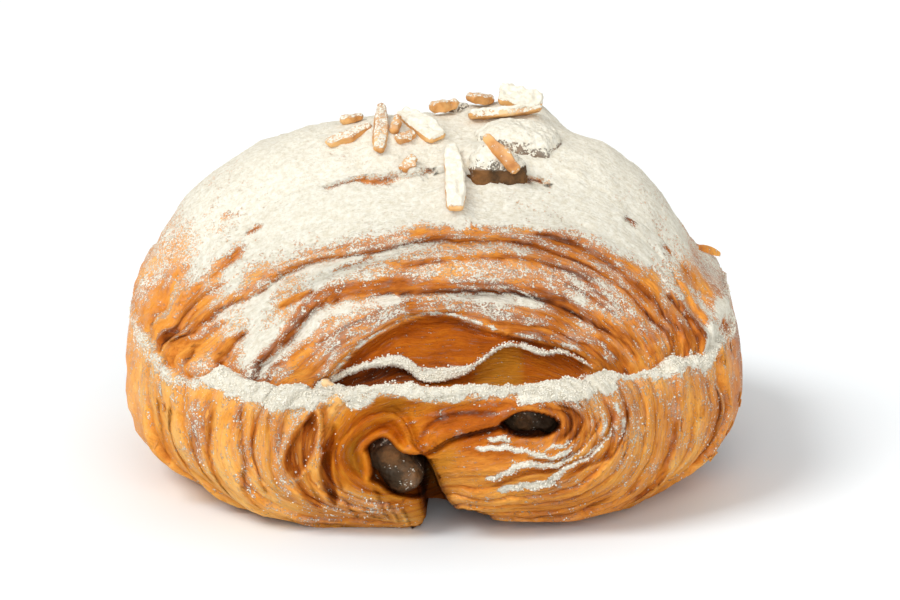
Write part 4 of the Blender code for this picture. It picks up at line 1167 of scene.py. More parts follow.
def browning(m):
    across, up = m.across, m.up
    middle, streaks, on_dome = m.middle, m.streaks, m.on_dome
    bake = DRUM_BAKE + 0.13 * ease(-16, 12, across) + 0.08 * m.broad + 0.06 * middle + 0.1 * streaks
    to_sides = ease(38, 50, m.x)
    dome_bake = DOME_BAKE + 0.08 * m.broad + 0.12 * streaks
    # grooves under the lips, the groove behind the rim and the line under each ribbon are painted darker as
    # painted shade
    dome_bake = dome_bake + (0.16 * np.clip(m.lip, 0, 1) + 0.42 * m.groove) * to_sides + 0.25 * m.behind
    dome_bake = dome_bake + m.ribbon_brown + 0.34 * m.under_ribbon - 0.1 * ease(28, 48, -across)
    bake = bake * (1 - on_dome) + dome_bake * on_dome
    # rib valleys and sheet-edge creases are painted darker as painted shade
    ribs = 0.18 * m.valley + 0.08 * m.rib_tone + m.browned + 0.2 * m.crease_mask - 0.05 * m.lifted
    bake = bake + (1 - on_dome) * ribs * m.cored + 0.25 * m.crease_mask * on_dome
    bake = bake + 0.1 * ease(14, 4, up) * ease(10, 30, across)
    bake = np.where(m.mouth_zone > 0, 0.4 + 0.16 * m.wall * (0.6 + 0.5 * middle) + 0.06 * streaks, bake)
    # the mouth's recess, the dough under the band's edge and the band's crease are painted darker as painted
    # shade
    bake = bake + 0.32 * m.recess * ease(0, -6, across) + 0.42 * m.under_band + 0.2 * m.crease
    # painted shade: the gap, the left stick's hollow, the trough's steep side, the lens, the crack's right end
    # and the hollows between sheets
    bake = bake + 0.16 * m.tears + 0.12 * m.split + 0.3 * m.gap + 0.22 * m.rings + 0.35 * m.hollow
    bake = bake + 0.16 * m.trough * ease(-13, -9, across) + 0.6 * m.lens
    bake = bake + 0.35 * m.split * ease(4, 10, across) + (0.26 + 0.1 * middle) * m.nest
    roll_side = 0.17 * m.quiet * (m.above_foot < 0) * ease(-3, 3, across)
    return bake + roll_side * ease(15, 18, up)


print("browning starts at", DRUM_BAKE, "on the drum and at", DOME_BAKE, "on the dome")

# %% [markdown]
# ## Dough from inside a fold
# Dough that was shut in a fold is moist and deep orange, and olive yellow where it is thickest. Loose grains
# lie where the sugar is thick, and flakes come off where an edge stands up.

# %% Inner dough, loose grains and flaky edges
def inner_and_crumb(m):
    """How far the dough at each place comes from inside a fold, and how far it shows yellow crumb."""
    across, up = m.across, m.up
    centre = m.quiet * (m.above_foot < 0.3) * (1 - ease(-1, 6, across) * ease(16, 10, up))
    inner = np.clip(centre, 0, 1) + m.hollow + m.gap + m.band + m.bare + m.pocket + 0.25 * m.split
    inner = np.clip(inner, 0, 1) * (1 - 0.5 * ease(0.1, 0.5, m.smiles))
    inner = inner * (1 - ease(12, 22, across) * (1 - m.bare))
    bowl = 0.9 * m.bowl * ease(18.5, 15.5, up) * (1 - m.hollow)
    pocket = 0.75 * m.pocket + 0.1 * m.middle * m.pocket
    recess = 0.65 * m.recess * ease(6, 9, across) * (1 - ease(15, 17, across))
    roll_side = bell(np.clip(m.edge + 3.5, -9, 9), 2.8)
    roll_side = roll_side * ease(-2, 0, across) * (1 - ease(2, 6, across)) * (up < 17) * (up > 3)
    return inner, np.maximum.reduce([bowl, pocket, recess, 0.6 * roll_side])


def surface_state(points, normals, masks, end):
    """The six values that the dough's colours need, each from 0 to 1."""
    m = SimpleNamespace(**masks, facing_up=normals[..., 2])
    m.x, m.height = np.abs(points[..., 0]) / MM, points[..., 2] / MM
    m.broad, m.middle = swell(points, 14 * MM, 31), swell(points, 5 * MM, 32, 2)
    m.small = swell(points, 1.5 * MM, 33, 2)
    m.streaks = swell(stretched(points, m.layers, 1.6, 6), 1, 34, 2)
    m.rib_tone = swell(stretched(points, m.rib_number * 3.7, 1, 14), 1, 35)
    m.settle = ease(0, 0.6, m.facing_up)
    m.bare = np.clip(m.wall + m.recess, 0, 1)
    m.smooth_dough = np.clip(m.hollow + m.gap + m.lens + m.band + m.pocket, 0, 1)
    m.rim_sugar = sugar_on_rim(m)
    inner, crumb = inner_and_crumb(m)
    crusted = 1 - m.smooth_dough
    loose = 0.6 * m.rim_sugar + 0.8 * ease(0.3, 0.7, m.smiles) + 0.7 * m.mouth_lip + 0.25 * m.speckled
    flaky = np.clip(m.lifted + 0.25 * (1 - m.on_dome) * (m.x > 24) * crusted, 0, 1)
    flaky = flaky * ease(4, 8, m.height) * (1 - m.quiet) * ease(-1, -2, m.above_foot)
    fields = (sugar_cover(m, end), browning(m), crumb, inner, np.clip(loose, 0, 1) * crusted, flaky)
    return [np.clip(field, 0, 1) for field in fields]


FIELDS = ("cover", "bake", "crumb", "inner", "loose", "flaky", "layer")
print("kept for each point:", FIELDS)

# %% [markdown]
# ## One closed mesh
# The two ends are joined along the outline into one closed skin, so the dough is solid from every side. The
# last rows ease over to the shared rim and are smoothed across it, so that no seam shows.

# %% Build the dough's mesh
EASED_ROWS, SMOOTH_TIMES = 8, 6


def join_ends():
    front, back = ends[-1][0], ends[1][0]
    rim = (front[-1] + back[-1]) / 2
    for half in (front, back):
        half[-EASED_ROWS:] += (np.linspace(0, 1, EASED_ROWS) ** 2)[:, None, None] * (rim - half[-1])
    rim = 0.2 * rim + 0.4 * (front[-2] + back[-2])
    grid = np.concatenate([front[:-1], rim[None], back[-2::-1]])
    values, join = [], len(front) - 1
    for end in (-1, 1):
        points, masks = ends[end]
        points = points.copy()
        points[-1] = rim
        normals = grid_normals(points, end)
        if np.mean(np.sum(normals * (points - (0, 0, BELT_HEIGHT)), axis=-1)) < 0:
            normals = -normals
        values.append([*surface_state(points, normals, masks, end), np.clip(masks["layers"], -1, 18)])
    fields = [np.concatenate([a, b[-2::-1]]) for a, b in zip(*values)]
    for values in (grid, *fields):
        for _ in range(SMOOTH_TIMES):
            near = values[join - 5:join + 6]
            values[join - 4:join + 5] = (near[:-2] + 2 * near[1:-1] + near[2:]) / 4
    return grid, dict(zip(FIELDS, fields))


def add_object(name, mesh):
    made = bpy.data.objects.new(name, mesh)
    bpy.context.scene.collection.objects.link(made)
    return made


def skin(name, grid, fields):
    rows, columns = grid.shape[:2]
    poles = [grid[0].mean(axis=0), grid[-1].mean(axis=0)]
    points = np.concatenate([grid.reshape(-1, 3), poles])
    index = np.arange(rows * columns).reshape(rows, columns)
    right = np.roll(index, -1, axis=1)
    quads = np.stack([index[:-1], index[1:], right[1:], right[:-1]], axis=-1).reshape(-1, 4)
    front_fan = [(rows * columns, a, b) for a, b in zip(index[0], right[0])]
    back_fan = [(rows * columns + 1, b, a) for a, b in zip(index[-1], right[-1])]
    mesh = bpy.data.meshes.new(name)
    mesh.from_pydata(points.tolist(), [], quads.tolist() + front_fan + back_fan)
    for label, field in fields.items():
        values = np.append(field.reshape(-1), [field[0].mean(), field[-1].mean()])
        mesh.attributes.new(label, "FLOAT", "POINT").data.foreach_set("value", values)
    mesh.shade_smooth()
    mesh.update()
    return add_object(name, mesh)


dough_grid, dough_fields = join_ends()
dough = skin("croissant_dough", dough_grid, dough_fields)
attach(dough, "root")
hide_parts("pastry")
print("dough faces:", len(dough.data.polygons), "mean cover:", round(float(dough_fields["cover"].mean()), 2))

# %% [markdown]
# ## Helpers for the materials
# A material is a small network of nodes. These helpers add a node with its values and links in one line, so
# that the recipes below can be read as recipes.

# %% Node helpers
def feed(tree, socket, value):
    """Links a socket to another node's output, or sets it to a plain value."""
    if isinstance(value, bpy.types.NodeSocket):
        tree.links.new(value, socket)
    else:
        socket.default_value = value


def node(tree, kind, settings=None, **inputs):
    """Adds a node; an input is named by its label, or by its place as i0, i1 and so on."""
    made = tree.nodes.new(kind)
    for name, value in (settings or {}).items():
        setattr(made, name, value)
    for name, value in inputs.items():
        by_place = name[0] == "i" and name[1:].isdigit()
        feed(tree, made.inputs[int(name[1:]) if by_place else name.replace("_", " ")], value)
    return made


def arithmetic(operation):
    def made(tree, first, second, clamp=False):
        settings = {"operation": operation, "use_clamp": clamp}
        return node(tree, "ShaderNodeMath", settings, i0=first, i1=second).outputs[0]

    return made


plus, minus, times = (arithmetic(operation) for operation in ("ADD", "SUBTRACT", "MULTIPLY"))


def ranged(tree, value, low, high, to_low=0.0, to_high=1.0, kind="LINEAR"):
    """Maps a value from one range to another and stops it at the ends."""
    made = node(tree, "ShaderNodeMapRange", {"interpolation_type": kind}, i0=value, i1=low, i2=high)
    feed(tree, made.inputs[3], to_low)
    feed(tree, made.inputs[4], to_high)
    return made.outputs[0]


def object_place(tree):
    return tree.nodes.new("ShaderNodeTexCoord").outputs["Object"]


def noise(tree, place, scale, detail, roughness):
    made = node(tree, "ShaderNodeTexNoise", Vector=place, Scale=scale, Detail=detail, Roughness=roughness)
    return made.outputs["Fac"]


def attribute(tree, name):
    return node(tree, "ShaderNodeAttribute", {"attribute_name": name}).outputs["Fac"]


def blend_colour(tree, share, first, second):
    return node(tree, "ShaderNodeMix", {"data_type": "RGBA"}, i0=share, i6=first, i7=second).outputs[2]


def colour_ramp(tree, value, stops):
    made = node(tree, "ShaderNodeValToRGB", Fac=value)
    ramp = made.color_ramp
    while len(ramp.elements) < len(stops):
        ramp.elements.new(0.5)
    for element, (place, colour) in zip(ramp.elements, stops):
        element.position, element.color = place, (*colour, 1)
    return made.outputs[0]


print("fields that the materials will read:", ", ".join(dough_fields))

# %% [markdown]
# ## Two effects as node groups
# Icing sugar lies on the crust, the chocolate and the almonds, so it is one node group that each material
# uses with its own values. It turns a smooth cover value into grains: a grain shows where its own random
# number is below the cover. The flaky streaks are a noise that changes fast across the layers and slowly
# along them.

# %% The groups for icing sugar and streaks
def new_group(name, inputs, outputs):
    tree = bpy.data.node_groups.new(name, "ShaderNodeTree")
    for label, value in inputs.items():
        tree.interface.new_socket(label, in_out="INPUT", socket_type="NodeSocketFloat").default_value = value
    for label in outputs:
        tree.interface.new_socket(label, in_out="OUTPUT", socket_type="NodeSocketFloat")
    return tree, tree.nodes.new("NodeGroupInput").outputs, tree.nodes.new("NodeGroupOutput").inputs


def icing_sugar_group():
    inputs = {"Cover": 0.5, "Grain": 4500.0, "Patch": 700.0}
    tree, given, put = new_group("icing sugar", inputs, ("Mask", "Height", "Tone", "Dust"))
    place = object_place(tree)
    grains = node(tree, "ShaderNodeTexVoronoi", Vector=place, Scale=given["Grain"])
    chance = node(tree, "ShaderNodeSeparateColor", i0=grains.outputs["Color"]).outputs
    patch = ranged(tree, noise(tree, place, given["Patch"], 3.0, 0.6), 0.32, 0.68)
    lot = plus(tree, times(tree, chance[0], 0.66), times(tree, patch, 0.34))
    mask = ranged(tree, minus(tree, given["Cover"], lot), -0.07, 0.09, kind="SMOOTHSTEP")
    feed(tree, put["Mask"], mask)
    feed(tree, put["Height"], times(tree, mask, plus(tree, 0.9, times(tree, chance[1], 0.45))))
    hazed = plus(tree, given["Cover"], times(tree, patch, 0.08))
    feed(tree, put["Dust"], ranged(tree, hazed, 0.14, 1.0, 0.0, 0.42))
    feed(tree, put["Tone"], ranged(tree, noise(tree, place, 1100.0, 4.0, 0.65), 0.3, 0.62))
    return tree


def streak_group():
    inputs = {"Layer": 0.0, "Across": 3.0, "Along": 120.0}
    tree, given, put = new_group("flaky streaks", inputs, ("Streak", "Lines"))
    x, y, z = node(tree, "ShaderNodeSeparateXYZ", i0=object_place(tree)).outputs
    across = times(tree, given["Layer"], given["Across"])
    along = times(tree, x, given["Along"])
    slant = times(tree, plus(tree, z, times(tree, y, 0.6)), given["Along"])
    spot = node(tree, "ShaderNodeCombineXYZ", i0=across, i1=along, i2=slant).outputs[0]
    for label, scale in (("Streak", 1.0), ("Lines", 2.6)):
        feed(tree, put[label], ranged(tree, noise(tree, spot, scale, 5.0, 0.65), 0.3, 0.7))
    return tree


def use_group(tree, group, **inputs):
    return node(tree, "ShaderNodeGroup", {"node_tree": group}, **inputs).outputs


ICING_SUGAR, FLAKY_STREAKS = icing_sugar_group(), streak_group()
print("groups:", ICING_SUGAR.name, "and", FLAKY_STREAKS.name)

# %% [markdown]
# ## What every finish shares
# Each material lays the same sugar over its own colour. A thin dust only pales the colour, while thick sugar
# hides it, makes the surface matt and stands up a little.

# %% What every finish shares
SUGAR_WHITE, SUGAR_SHADE = (0.88, 0.845, 0.735, 1), (0.72, 0.66, 0.52, 1)
SUGAR_ROUGHNESS, SHINE = 0.95, 0.12


def new_finish(name, roughness):
    made = bpy.data.materials.new(name)
    made.use_nodes = True
    shader = made.node_tree.nodes["Principled BSDF"]
    shader.inputs["Roughness"].default_value = roughness
    shader.inputs["Specular IOR Level"].default_value = SHINE
    return made, made.node_tree, shader


def finish_surface(tree, shader, colour, sugar, base_height, base_roughness, depth):
    """Lays the sugar over a colour, and gives the surface its roughness and small relief."""
    white = blend_colour(tree, sugar["Tone"], SUGAR_SHADE, SUGAR_WHITE)
    colour = blend_colour(tree, sugar["Dust"], colour, SUGAR_WHITE)
    feed(tree, shader.inputs["Base Color"], blend_colour(tree, sugar["Mask"], colour, white))
    rough = ranged(tree, sugar["Mask"], 0.0, 1.0, base_roughness, SUGAR_ROUGHNESS)
    feed(tree, shader.inputs["Roughness"], rough)
    height = plus(tree, base_height, sugar["Height"])
    bump = node(tree, "ShaderNodeBump", Strength=1.0, Distance=depth, Height=height)
    feed(tree, shader.inputs["Normal"], bump.outputs[0])


print("sugar is", SUGAR_WHITE[:3], "and", SUGAR_SHADE[:3], "in its own shade")

# %% [markdown]
# ## The crust
# A baked crust runs from yellow dough through orange to dark brown. One colour ramp holds that run, and the
# browning value, with streaks added, picks the place on it. A thin coat would look varnished, so the gloss
# is left low and uneven.

# %% The crust's material
CRUST_STOPS = (
    (0.0, (0.9, 0.5, 0.14)), (0.22, (0.84, 0.355, 0.058)), (0.42, (0.68, 0.235, 0.03)),
    (0.6, (0.46, 0.125, 0.012)), (0.78, (0.23, 0.054, 0.006)), (1.0, (0.06, 0.016, 0.004)),
)
INNER_STOPS = (
    (0.0, (0.66, 0.25, 0.018)), (0.25, (0.55, 0.155, 0.006)), (0.45, (0.43, 0.098, 0.003)),
    (0.65, (0.27, 0.054, 0.002)), (0.82, (0.12, 0.022, 0.002)), (1.0, (0.035, 0.008, 0.002)),
)
CRUMB_DARK, CRUMB_LIGHT = (0.4, 0.135, 0.006, 1), (0.66, 0.31, 0.028, 1)


def crust_finish():
    made, tree, shader = new_finish("baked crust", 0.5)
    streaks = use_group(tree, FLAKY_STREAKS, Layer=attribute(tree, "layer"), Across=2.6, Along=130.0)
    blisters = noise(tree, object_place(tree), 650.0, 4.0, 0.6)
    wobble = times(tree, minus(tree, streaks["Streak"], 0.5), 0.3)
    grain = times(tree, minus(tree, blisters, 0.5), 0.22)
    fine = times(tree, minus(tree, streaks["Lines"], 0.5), 0.16)
    uneven = plus(tree, wobble, plus(tree, grain, fine))
    baked = plus(tree, attribute(tree, "bake"), uneven, clamp=True)
    colour = colour_ramp(tree, baked, CRUST_STOPS)
    colour = blend_colour(tree, attribute(tree, "inner"), colour, colour_ramp(tree, baked, INNER_STOPS))
    crumb_colour = blend_colour(tree, blisters, CRUMB_DARK, CRUMB_LIGHT)
    colour = blend_colour(tree, attribute(tree, "crumb"), colour, crumb_colour)
    bare_share = minus(tree, 1.06, attribute(tree, "cover"))
    drawn_out = times(tree, minus(tree, streaks["Lines"], 0.5), bare_share)
    cover = plus(tree, attribute(tree, "cover"), times(tree, drawn_out, 0.55))
    sugar = use_group(tree, ICING_SUGAR, Cover=cover, Grain=4500.0, Patch=620.0)
    lines = plus(tree, times(tree, streaks["Lines"], 0.9), times(tree, blisters, 0.5))
    finish_surface(tree, shader, colour, sugar, lines, 0.46, 0.34 * MM)
    return made


CRUST = crust_finish()
dough.data.materials.append(CRUST)
print("nodes in the crust:", len(CRUST.node_tree.nodes))

# %% [markdown]
# ## Chocolate and almonds
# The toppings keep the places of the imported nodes. A copy of each is remeshed into small even faces, with
# points enough for chips, grain and a rough break. Its normals then say where sugar can lie.

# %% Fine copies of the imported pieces
def fine_copy(name, node_name, cell, roughen):
    """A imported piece, remeshed at this cell size and roughened."""
    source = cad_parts[node_name].data.copy()
    shaped = bmesh.new()
    shaped.from_mesh(source)
    bmesh.ops.remove_doubles(shaped, verts=shaped.verts, dist=1e-6)
    shaped.to_mesh(source)
    shaped.free()
    made = add_object(name, source)
    remesh = made.modifiers.new("even faces", "REMESH")
    remesh.mode = "VOXEL"
    remesh.voxel_size = cell
    smooth = made.modifiers.new("soft edges", "SMOOTH")
    smooth.factor = 0.5
    smooth.iterations = 2
    bpy.context.view_layer.update()
    mesh = bpy.data.meshes.new_from_object(made.evaluated_get(bpy.context.evaluated_depsgraph_get()))
    made.modifiers.clear()
    made.data = mesh
    mesh.name = name
    mesh.materials.clear()
    count = len(mesh.vertices)
    points, normals = np.empty(count * 3), np.empty(count * 3)
    mesh.vertices.foreach_get("co", points)
    mesh.vertex_normals.foreach_get("vector", normals)
    points, normals = points.reshape(-1, 3), normals.reshape(-1, 3)
    moved = points + normals * roughen(points, normals)[:, None]
    mesh.vertices.foreach_set("co", moved.reshape(-1))
    mesh.shade_smooth()
    mesh.update()
    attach(made, "root")
    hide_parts(node_name)
    return made, moved, normals


def give_fields(made, **fields):
    for label, field in fields.items():
        made.data.attributes.new(label, "FLOAT", "POINT").data.foreach_set("value", np.clip(field, 0, 1))
print("toppings to copy:", len(TOPPINGS))

# %% [markdown]
# ## Dark chocolate
# Chocolate that has been in the oven is dull: a pale bloom lies on it, and where it is broken it is browner.
# One noise makes the bloom, and the value called bare says where it is broken.

# %% The chocolate's material
CHOCOLATE_STOPS = ((0.15, (0.012, 0.008, 0.005)), (0.5, (0.055, 0.034, 0.018)), (0.95, (0.21, 0.095, 0.032)))


def chocolate_finish():
    made, tree, shader = new_finish("dark chocolate", 0.4)
    place = object_place(tree)
    bloom = noise(tree, place, 700.0, 5.0, 0.65)
    pits = node(tree, "ShaderNodeTexVoronoi", Vector=place, Scale=1100.0)
    tone = plus(tree, times(tree, bloom, 0.7), times(tree, attribute(tree, "bare"), 0.55))
    colour = colour_ramp(tree, tone, CHOCOLATE_STOPS)
    sugar = use_group(tree, ICING_SUGAR, Cover=attribute(tree, "cover"), Grain=3000.0, Patch=800.0)
    height = plus(tree, times(tree, bloom, 1.6), times(tree, pits.outputs["Distance"], 0.9))
    finish_surface(tree, shader, colour, sugar, height, 0.6, 0.3 * MM)
    return made


CHOCOLATE = chocolate_finish()
print("nodes in the chocolate:", len(CHOCOLATE.node_tree.nodes))

# %% [markdown]
# ### The sticks
# A chocolate stick that has been baked loses its gloss at the ends and breaks up a little, so the ends are
# roughened more than the sides, and a few grains of sugar have fallen on them.

# %% Make the chocolate sticks
for stick_name in ("chocolate_stick_left", "chocolate_stick_right"):
    low, high = (np.array(corner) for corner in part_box(stick_name))

    def broken_end(points, normals):
        at_end = ease(7 * MM, 1 * MM, np.minimum(points[:, 1] - low[1], high[1] - points[:, 1]))
        bumps = (0.04 + 0.26 * at_end) * MM * swell(points, 1.8 * MM, 41, 3)
        return bumps + 0.13 * MM * at_end * swell(points, 0.7 * MM, 44) - 0.25 * MM * at_end
    made_name = stick_name.replace("chocolate_", "") + "_baked"
    stick, points, normals = fine_copy(made_name, stick_name, 0.42 * MM, broken_end)
    at_end = ease(9 * MM, 1 * MM, np.minimum(points[:, 1] - low[1], high[1] - points[:, 1]))
    speck = 0.06 + 0.14 * swell(points, 3 * MM, 42, 2) + 0.16 * ease(0.3, 0.9, normals[:, 2])
    bare = (0.4 if "left" in stick_name else -0.12) + 0.4 * swell(points, 4 * MM, 43)
    give_fields(stick, cover=speck * at_end, bare=bare)
    stick.data.materials.append(CHOCOLATE)
    print(stick.name, len(stick.data.polygons), "faces")

# %% [markdown]
# ### The chocolate lumps
# The lumps on the crown are worn and pitted. Sugar covers their tops, and their steep faces stay dark.

# %% Make the chocolate lumps
LUMP_SUGAR = {"front": 0.95, "sugared": 1.25, "back": 0.95, "small": 0.75}
LUMP_PEAK, PEAK_SPREAD = np.array((9.6, -18.4, 65.0)) * MM, 2.7 * MM


def worn_lump(points, normals):
    """The front lump also rises under the almond sliver that leans on it."""
    peak = 2.7 * MM * np.exp(-np.sum(((points - LUMP_PEAK) / PEAK_SPREAD) ** 2, axis=-1))
    worn = 0.3 * swell(points, 2.6 * MM, 51, 2) + 0.07 * swell(points, 0.8 * MM, 52)
    return peak + MM * worn - 0.05 * MM


for label, amount in LUMP_SUGAR.items():
    node_name = "chocolate_chunk_" + label
    lump, points, normals = fine_copy("lump_" + label, node_name, 0.28 * MM, worn_lump)
    lowest = 0.05 if label == "front" else -0.35
    cover = amount * ease(lowest, 0.85, normals[:, 2]) - 0.04 + 0.14 * swell(points, 1.6 * MM, 53, 2)
    bare = (0.75 if label == "front" else 0.85) + 0.4 * swell(points, 3 * MM, 54)
    give_fields(lump, cover=cover, bare=bare)
    lump.data.materials.append(CHOCOLATE)
    print(lump.name, len(lump.data.polygons), "faces")

# %% [markdown]
# ### The slivered almonds
# Slivered almonds are cut with a blade, so their sides are flat and toasted gold, and their tops have caught
# the sugar. Some lie tipped up, and show a clean golden edge.

# %% The almonds' material, and the slivers
ALMOND_STOPS = (
    (0.1, (0.84, 0.6, 0.32)), (0.45, (0.74, 0.42, 0.16)),
    (0.75, (0.56, 0.25, 0.075)), (1.0, (0.3, 0.11, 0.035)),
)
SLIVER_LOOKS = {  # number: sugar on top, toast
    1: (1.2, 0.45), 2: (0.5, 0.55), 3: (1.25, 0.4), 4: (0.42, 0.5), 5: (0.42, 0.6), 6: (0.58, 0.6),
    7: (0.48, 0.7), 8: (1.1, 0.4), 9: (0.15, 0.65), 10: (0.38, 0.5), 11: (0.4, 0.5),
    12: (1.3, 0.4), 13: (0.3, 0.8),
}


def almond_finish():
    made, tree, shader = new_finish("toasted almond", 0.5)
    fibre = noise(tree, object_place(tree), 520.0, 4.0, 0.6)
    tone = plus(tree, times(tree, fibre, 0.55), times(tree, attribute(tree, "toast"), 0.6))
    colour = colour_ramp(tree, tone, ALMOND_STOPS)
    sugar = use_group(tree, ICING_SUGAR, Cover=attribute(tree, "cover"), Grain=3200.0, Patch=900.0)
    finish_surface(tree, shader, colour, sugar, fibre, 0.45, 0.12 * MM)
    return made


ALMOND = almond_finish()
for number, (amount, toast) in SLIVER_LOOKS.items():

    def sliced(points, normals):
        """The sliver's small bumps, with the sugar heaped on its upper side."""
        bumps = 0.12 * swell(points, 2.6 * MM, 60 + number, 2) + 0.05 * swell(points, 0.8 * MM, 64)
        heap = amount * (0.18 + 0.16 * swell(points, 0.9 * MM, 63)) * ease(0.3, 0.9, normals[:, 2])
        return MM * (bumps - 0.06 + heap)

    sliver, points, normals = fine_copy(f"sliver_{number}", f"almond_sliver_{number}", 0.17 * MM, sliced)
    cover = amount * ease(0.1, 0.7, normals[:, 2]) + 0.14 * swell(points, 1.2 * MM, 61, 2) + 0.05
    give_fields(sliver, cover=cover, toast=toast - 0.04 + 0.3 * swell(points, 2.2 * MM, 62))
    sliver.data.materials.append(ALMOND)
print("slivers:", len(SLIVER_LOOKS))

# %% [markdown]
# ## Loose grains of sugar
# Icing sugar on a moist crust clumps into small grains, thickest on the rim and in the folds. They are real
# small solids, scattered by chance, with odds taken from how much sugar lies at each place.

# %% Scatter the grains
def scatter(odds, count, seed):
    """Random places on the dough's grid, with their normals; odds are given for each point of the grid."""
    draw = np.random.default_rng(seed)
    beside_grid = np.roll(dough_grid, -1, axis=1)
    corners = [dough_grid[:-1], dough_grid[1:], beside_grid[1:], beside_grid[:-1]]
    facing = np.cross(corners[2] - corners[0], corners[3] - corners[1])
    area = np.linalg.norm(facing, axis=-1)
    facing = facing / np.maximum(area, 1e-15)[..., None]
    middle = sum(corners) / 4
    turned_in = np.sum(facing * (middle - (0, 0, BELT_HEIGHT)), axis=-1, keepdims=True) < 0
    facing = np.where(turned_in, -facing, facing)
    chance = (odds[:-1] * area).reshape(-1)
    picked = draw.choice(chance.size, count, p=chance / chance.sum())
    u, v = draw.random((2, count, 1))
    a, b, c, d = (corner.reshape(-1, 3)[picked] for corner in corners)
    places = (a * (1 - u) + b * u) * (1 - v) + (d * (1 - u) + c * u) * v
    return places, facing.reshape(-1, 3)[picked], picked, draw


GRAIN_CORNERS = np.array([(1, 0, 0), (-1, 0, 0), (0, 1, 0), (0, -1, 0), (0, 0, 1), (0, 0, -1)], float)
GRAIN_FACES = np.array([
    (0, 2, 4), (2, 1, 4), (1, 3, 4), (3, 0, 4), (2, 0, 5), (1, 2, 5), (3, 1, 5), (0, 3, 5),
])
GRAIN_WHITE = (0.94, 0.91, 0.83, 1)


def sugar_grains(name, odds, count, sizes, seed):
    places, facing, _, draw = scatter(odds, count, seed)
    size = draw.uniform(*sizes, (count, 1, 1)) * MM * draw.uniform(0.7, 1.3, (count, 6, 1))
    turn = np.linalg.qr(draw.normal(size=(count, 3, 3)))[0]
    turn *= np.sign(np.linalg.det(turn))[:, None, None]
    grains = places[:, None] + 0.3 * size * facing[:, None] + size * (GRAIN_CORNERS @ turn)
    faces = (GRAIN_FACES[None] + 6 * np.arange(count)[:, None, None]).reshape(-1, 3)
    grains[..., 2] = np.maximum(grains[..., 2], 0.02 * MM)
    mesh = bpy.data.meshes.new(name)
    mesh.from_pydata(grains.reshape(-1, 3).tolist(), [], faces.tolist())
    mesh.shade_smooth()
    made = add_object(name, mesh)
    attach(made, "root")
    return made


def grain_finish():
    made, tree, shader = new_finish("sugar grains", 0.9)
    mottle = noise(tree, object_place(tree), 1500.0, 2.0, 0.5)
    feed(tree, shader.inputs["Base Color"], blend_colour(tree, mottle, SUGAR_SHADE, GRAIN_WHITE))
    return made


cover, loose = dough_fields["cover"], dough_fields["loose"]
edges_of_cover = cover * np.clip(1.35 - cover, 0, 1)
fine_odds = (0.15 * loose + edges_of_cover**2) * (1 - 0.9 * dough_fields["inner"])
GRAIN = grain_finish()
GRAIN_LOTS = (  # name, odds, count, sizes in mm, seed
    ("sugar_grains_coarse", loose**1.5, 9000, (0.09, 0.26), 91),
    ("sugar_grains_fine", fine_odds, 15000, (0.05, 0.11), 92),
)
for label, odds, count, sizes, seed in GRAIN_LOTS:
    grains = sugar_grains(label, odds, count, sizes, seed)
    grains.data.materials.append(GRAIN)
    print(label, len(grains.data.polygons) // 8)

# %% [markdown]
# ## Flakes of crust
# A laminated crust sheds thin curled flakes. A few lie where the edges of the sheets stand up, turned along
# the layers. Each is a bent plate with a top, an underside and a rim, so it has thickness from every side.

# %% Scatter the flakes
FLAKE_COUNT = 70
PLACED_FLAKES = (  # two larger ones at the right: place in mm, way, out, half length, half width
    ((51.6, -3.0, 42.3), (0.8, -0.1, 0.45), (0.45, -0.3, 0.85), 2.3, 1.1),
    ((57.6, -8.0, 21.0), (0.1, 0.2, 1.0), (1.0, -0.3, 0.1), 2.4, 1.2),
)


def flake_solid(place, along, facing, long, wide, curl, tilt, draw):
    """Corners and faces of one bent plate."""
    across = np.cross(facing, along)
    lift = math.sin(tilt)
    corners = []
    for side in (1, -1):
        for u in np.linspace(-1, 1, 6):
            taper = 1 - 0.55 * abs(u) ** 2 + draw.uniform(-0.12, 0.12)
            for v in (-1, 0, 1):
                rise = curl * (u * u + 0.7 * v * v) + side * 0.09 * MM * (1 - 0.5 * abs(v))
                out = facing * (rise + lift * v * wide + 0.1 * MM)
                corners.append(place + along * u * long + across * v * wide * taper + out)
    faces = []
    for i in range(5):
        for j in range(2):
            k = 3 * i + j
            faces.append((k, k + 3, k + 4, k + 1))
            faces.append((k + 18, k + 19, k + 22, k + 21))
    rim = [0, 1, 2, 5, 8, 11, 14, 17, 16, 15, 12, 9, 6, 3]
    for a, b in zip(rim, rim[1:] + rim[:1]):
        faces.append((a, b, b + 18, a + 18))
    return corners, faces


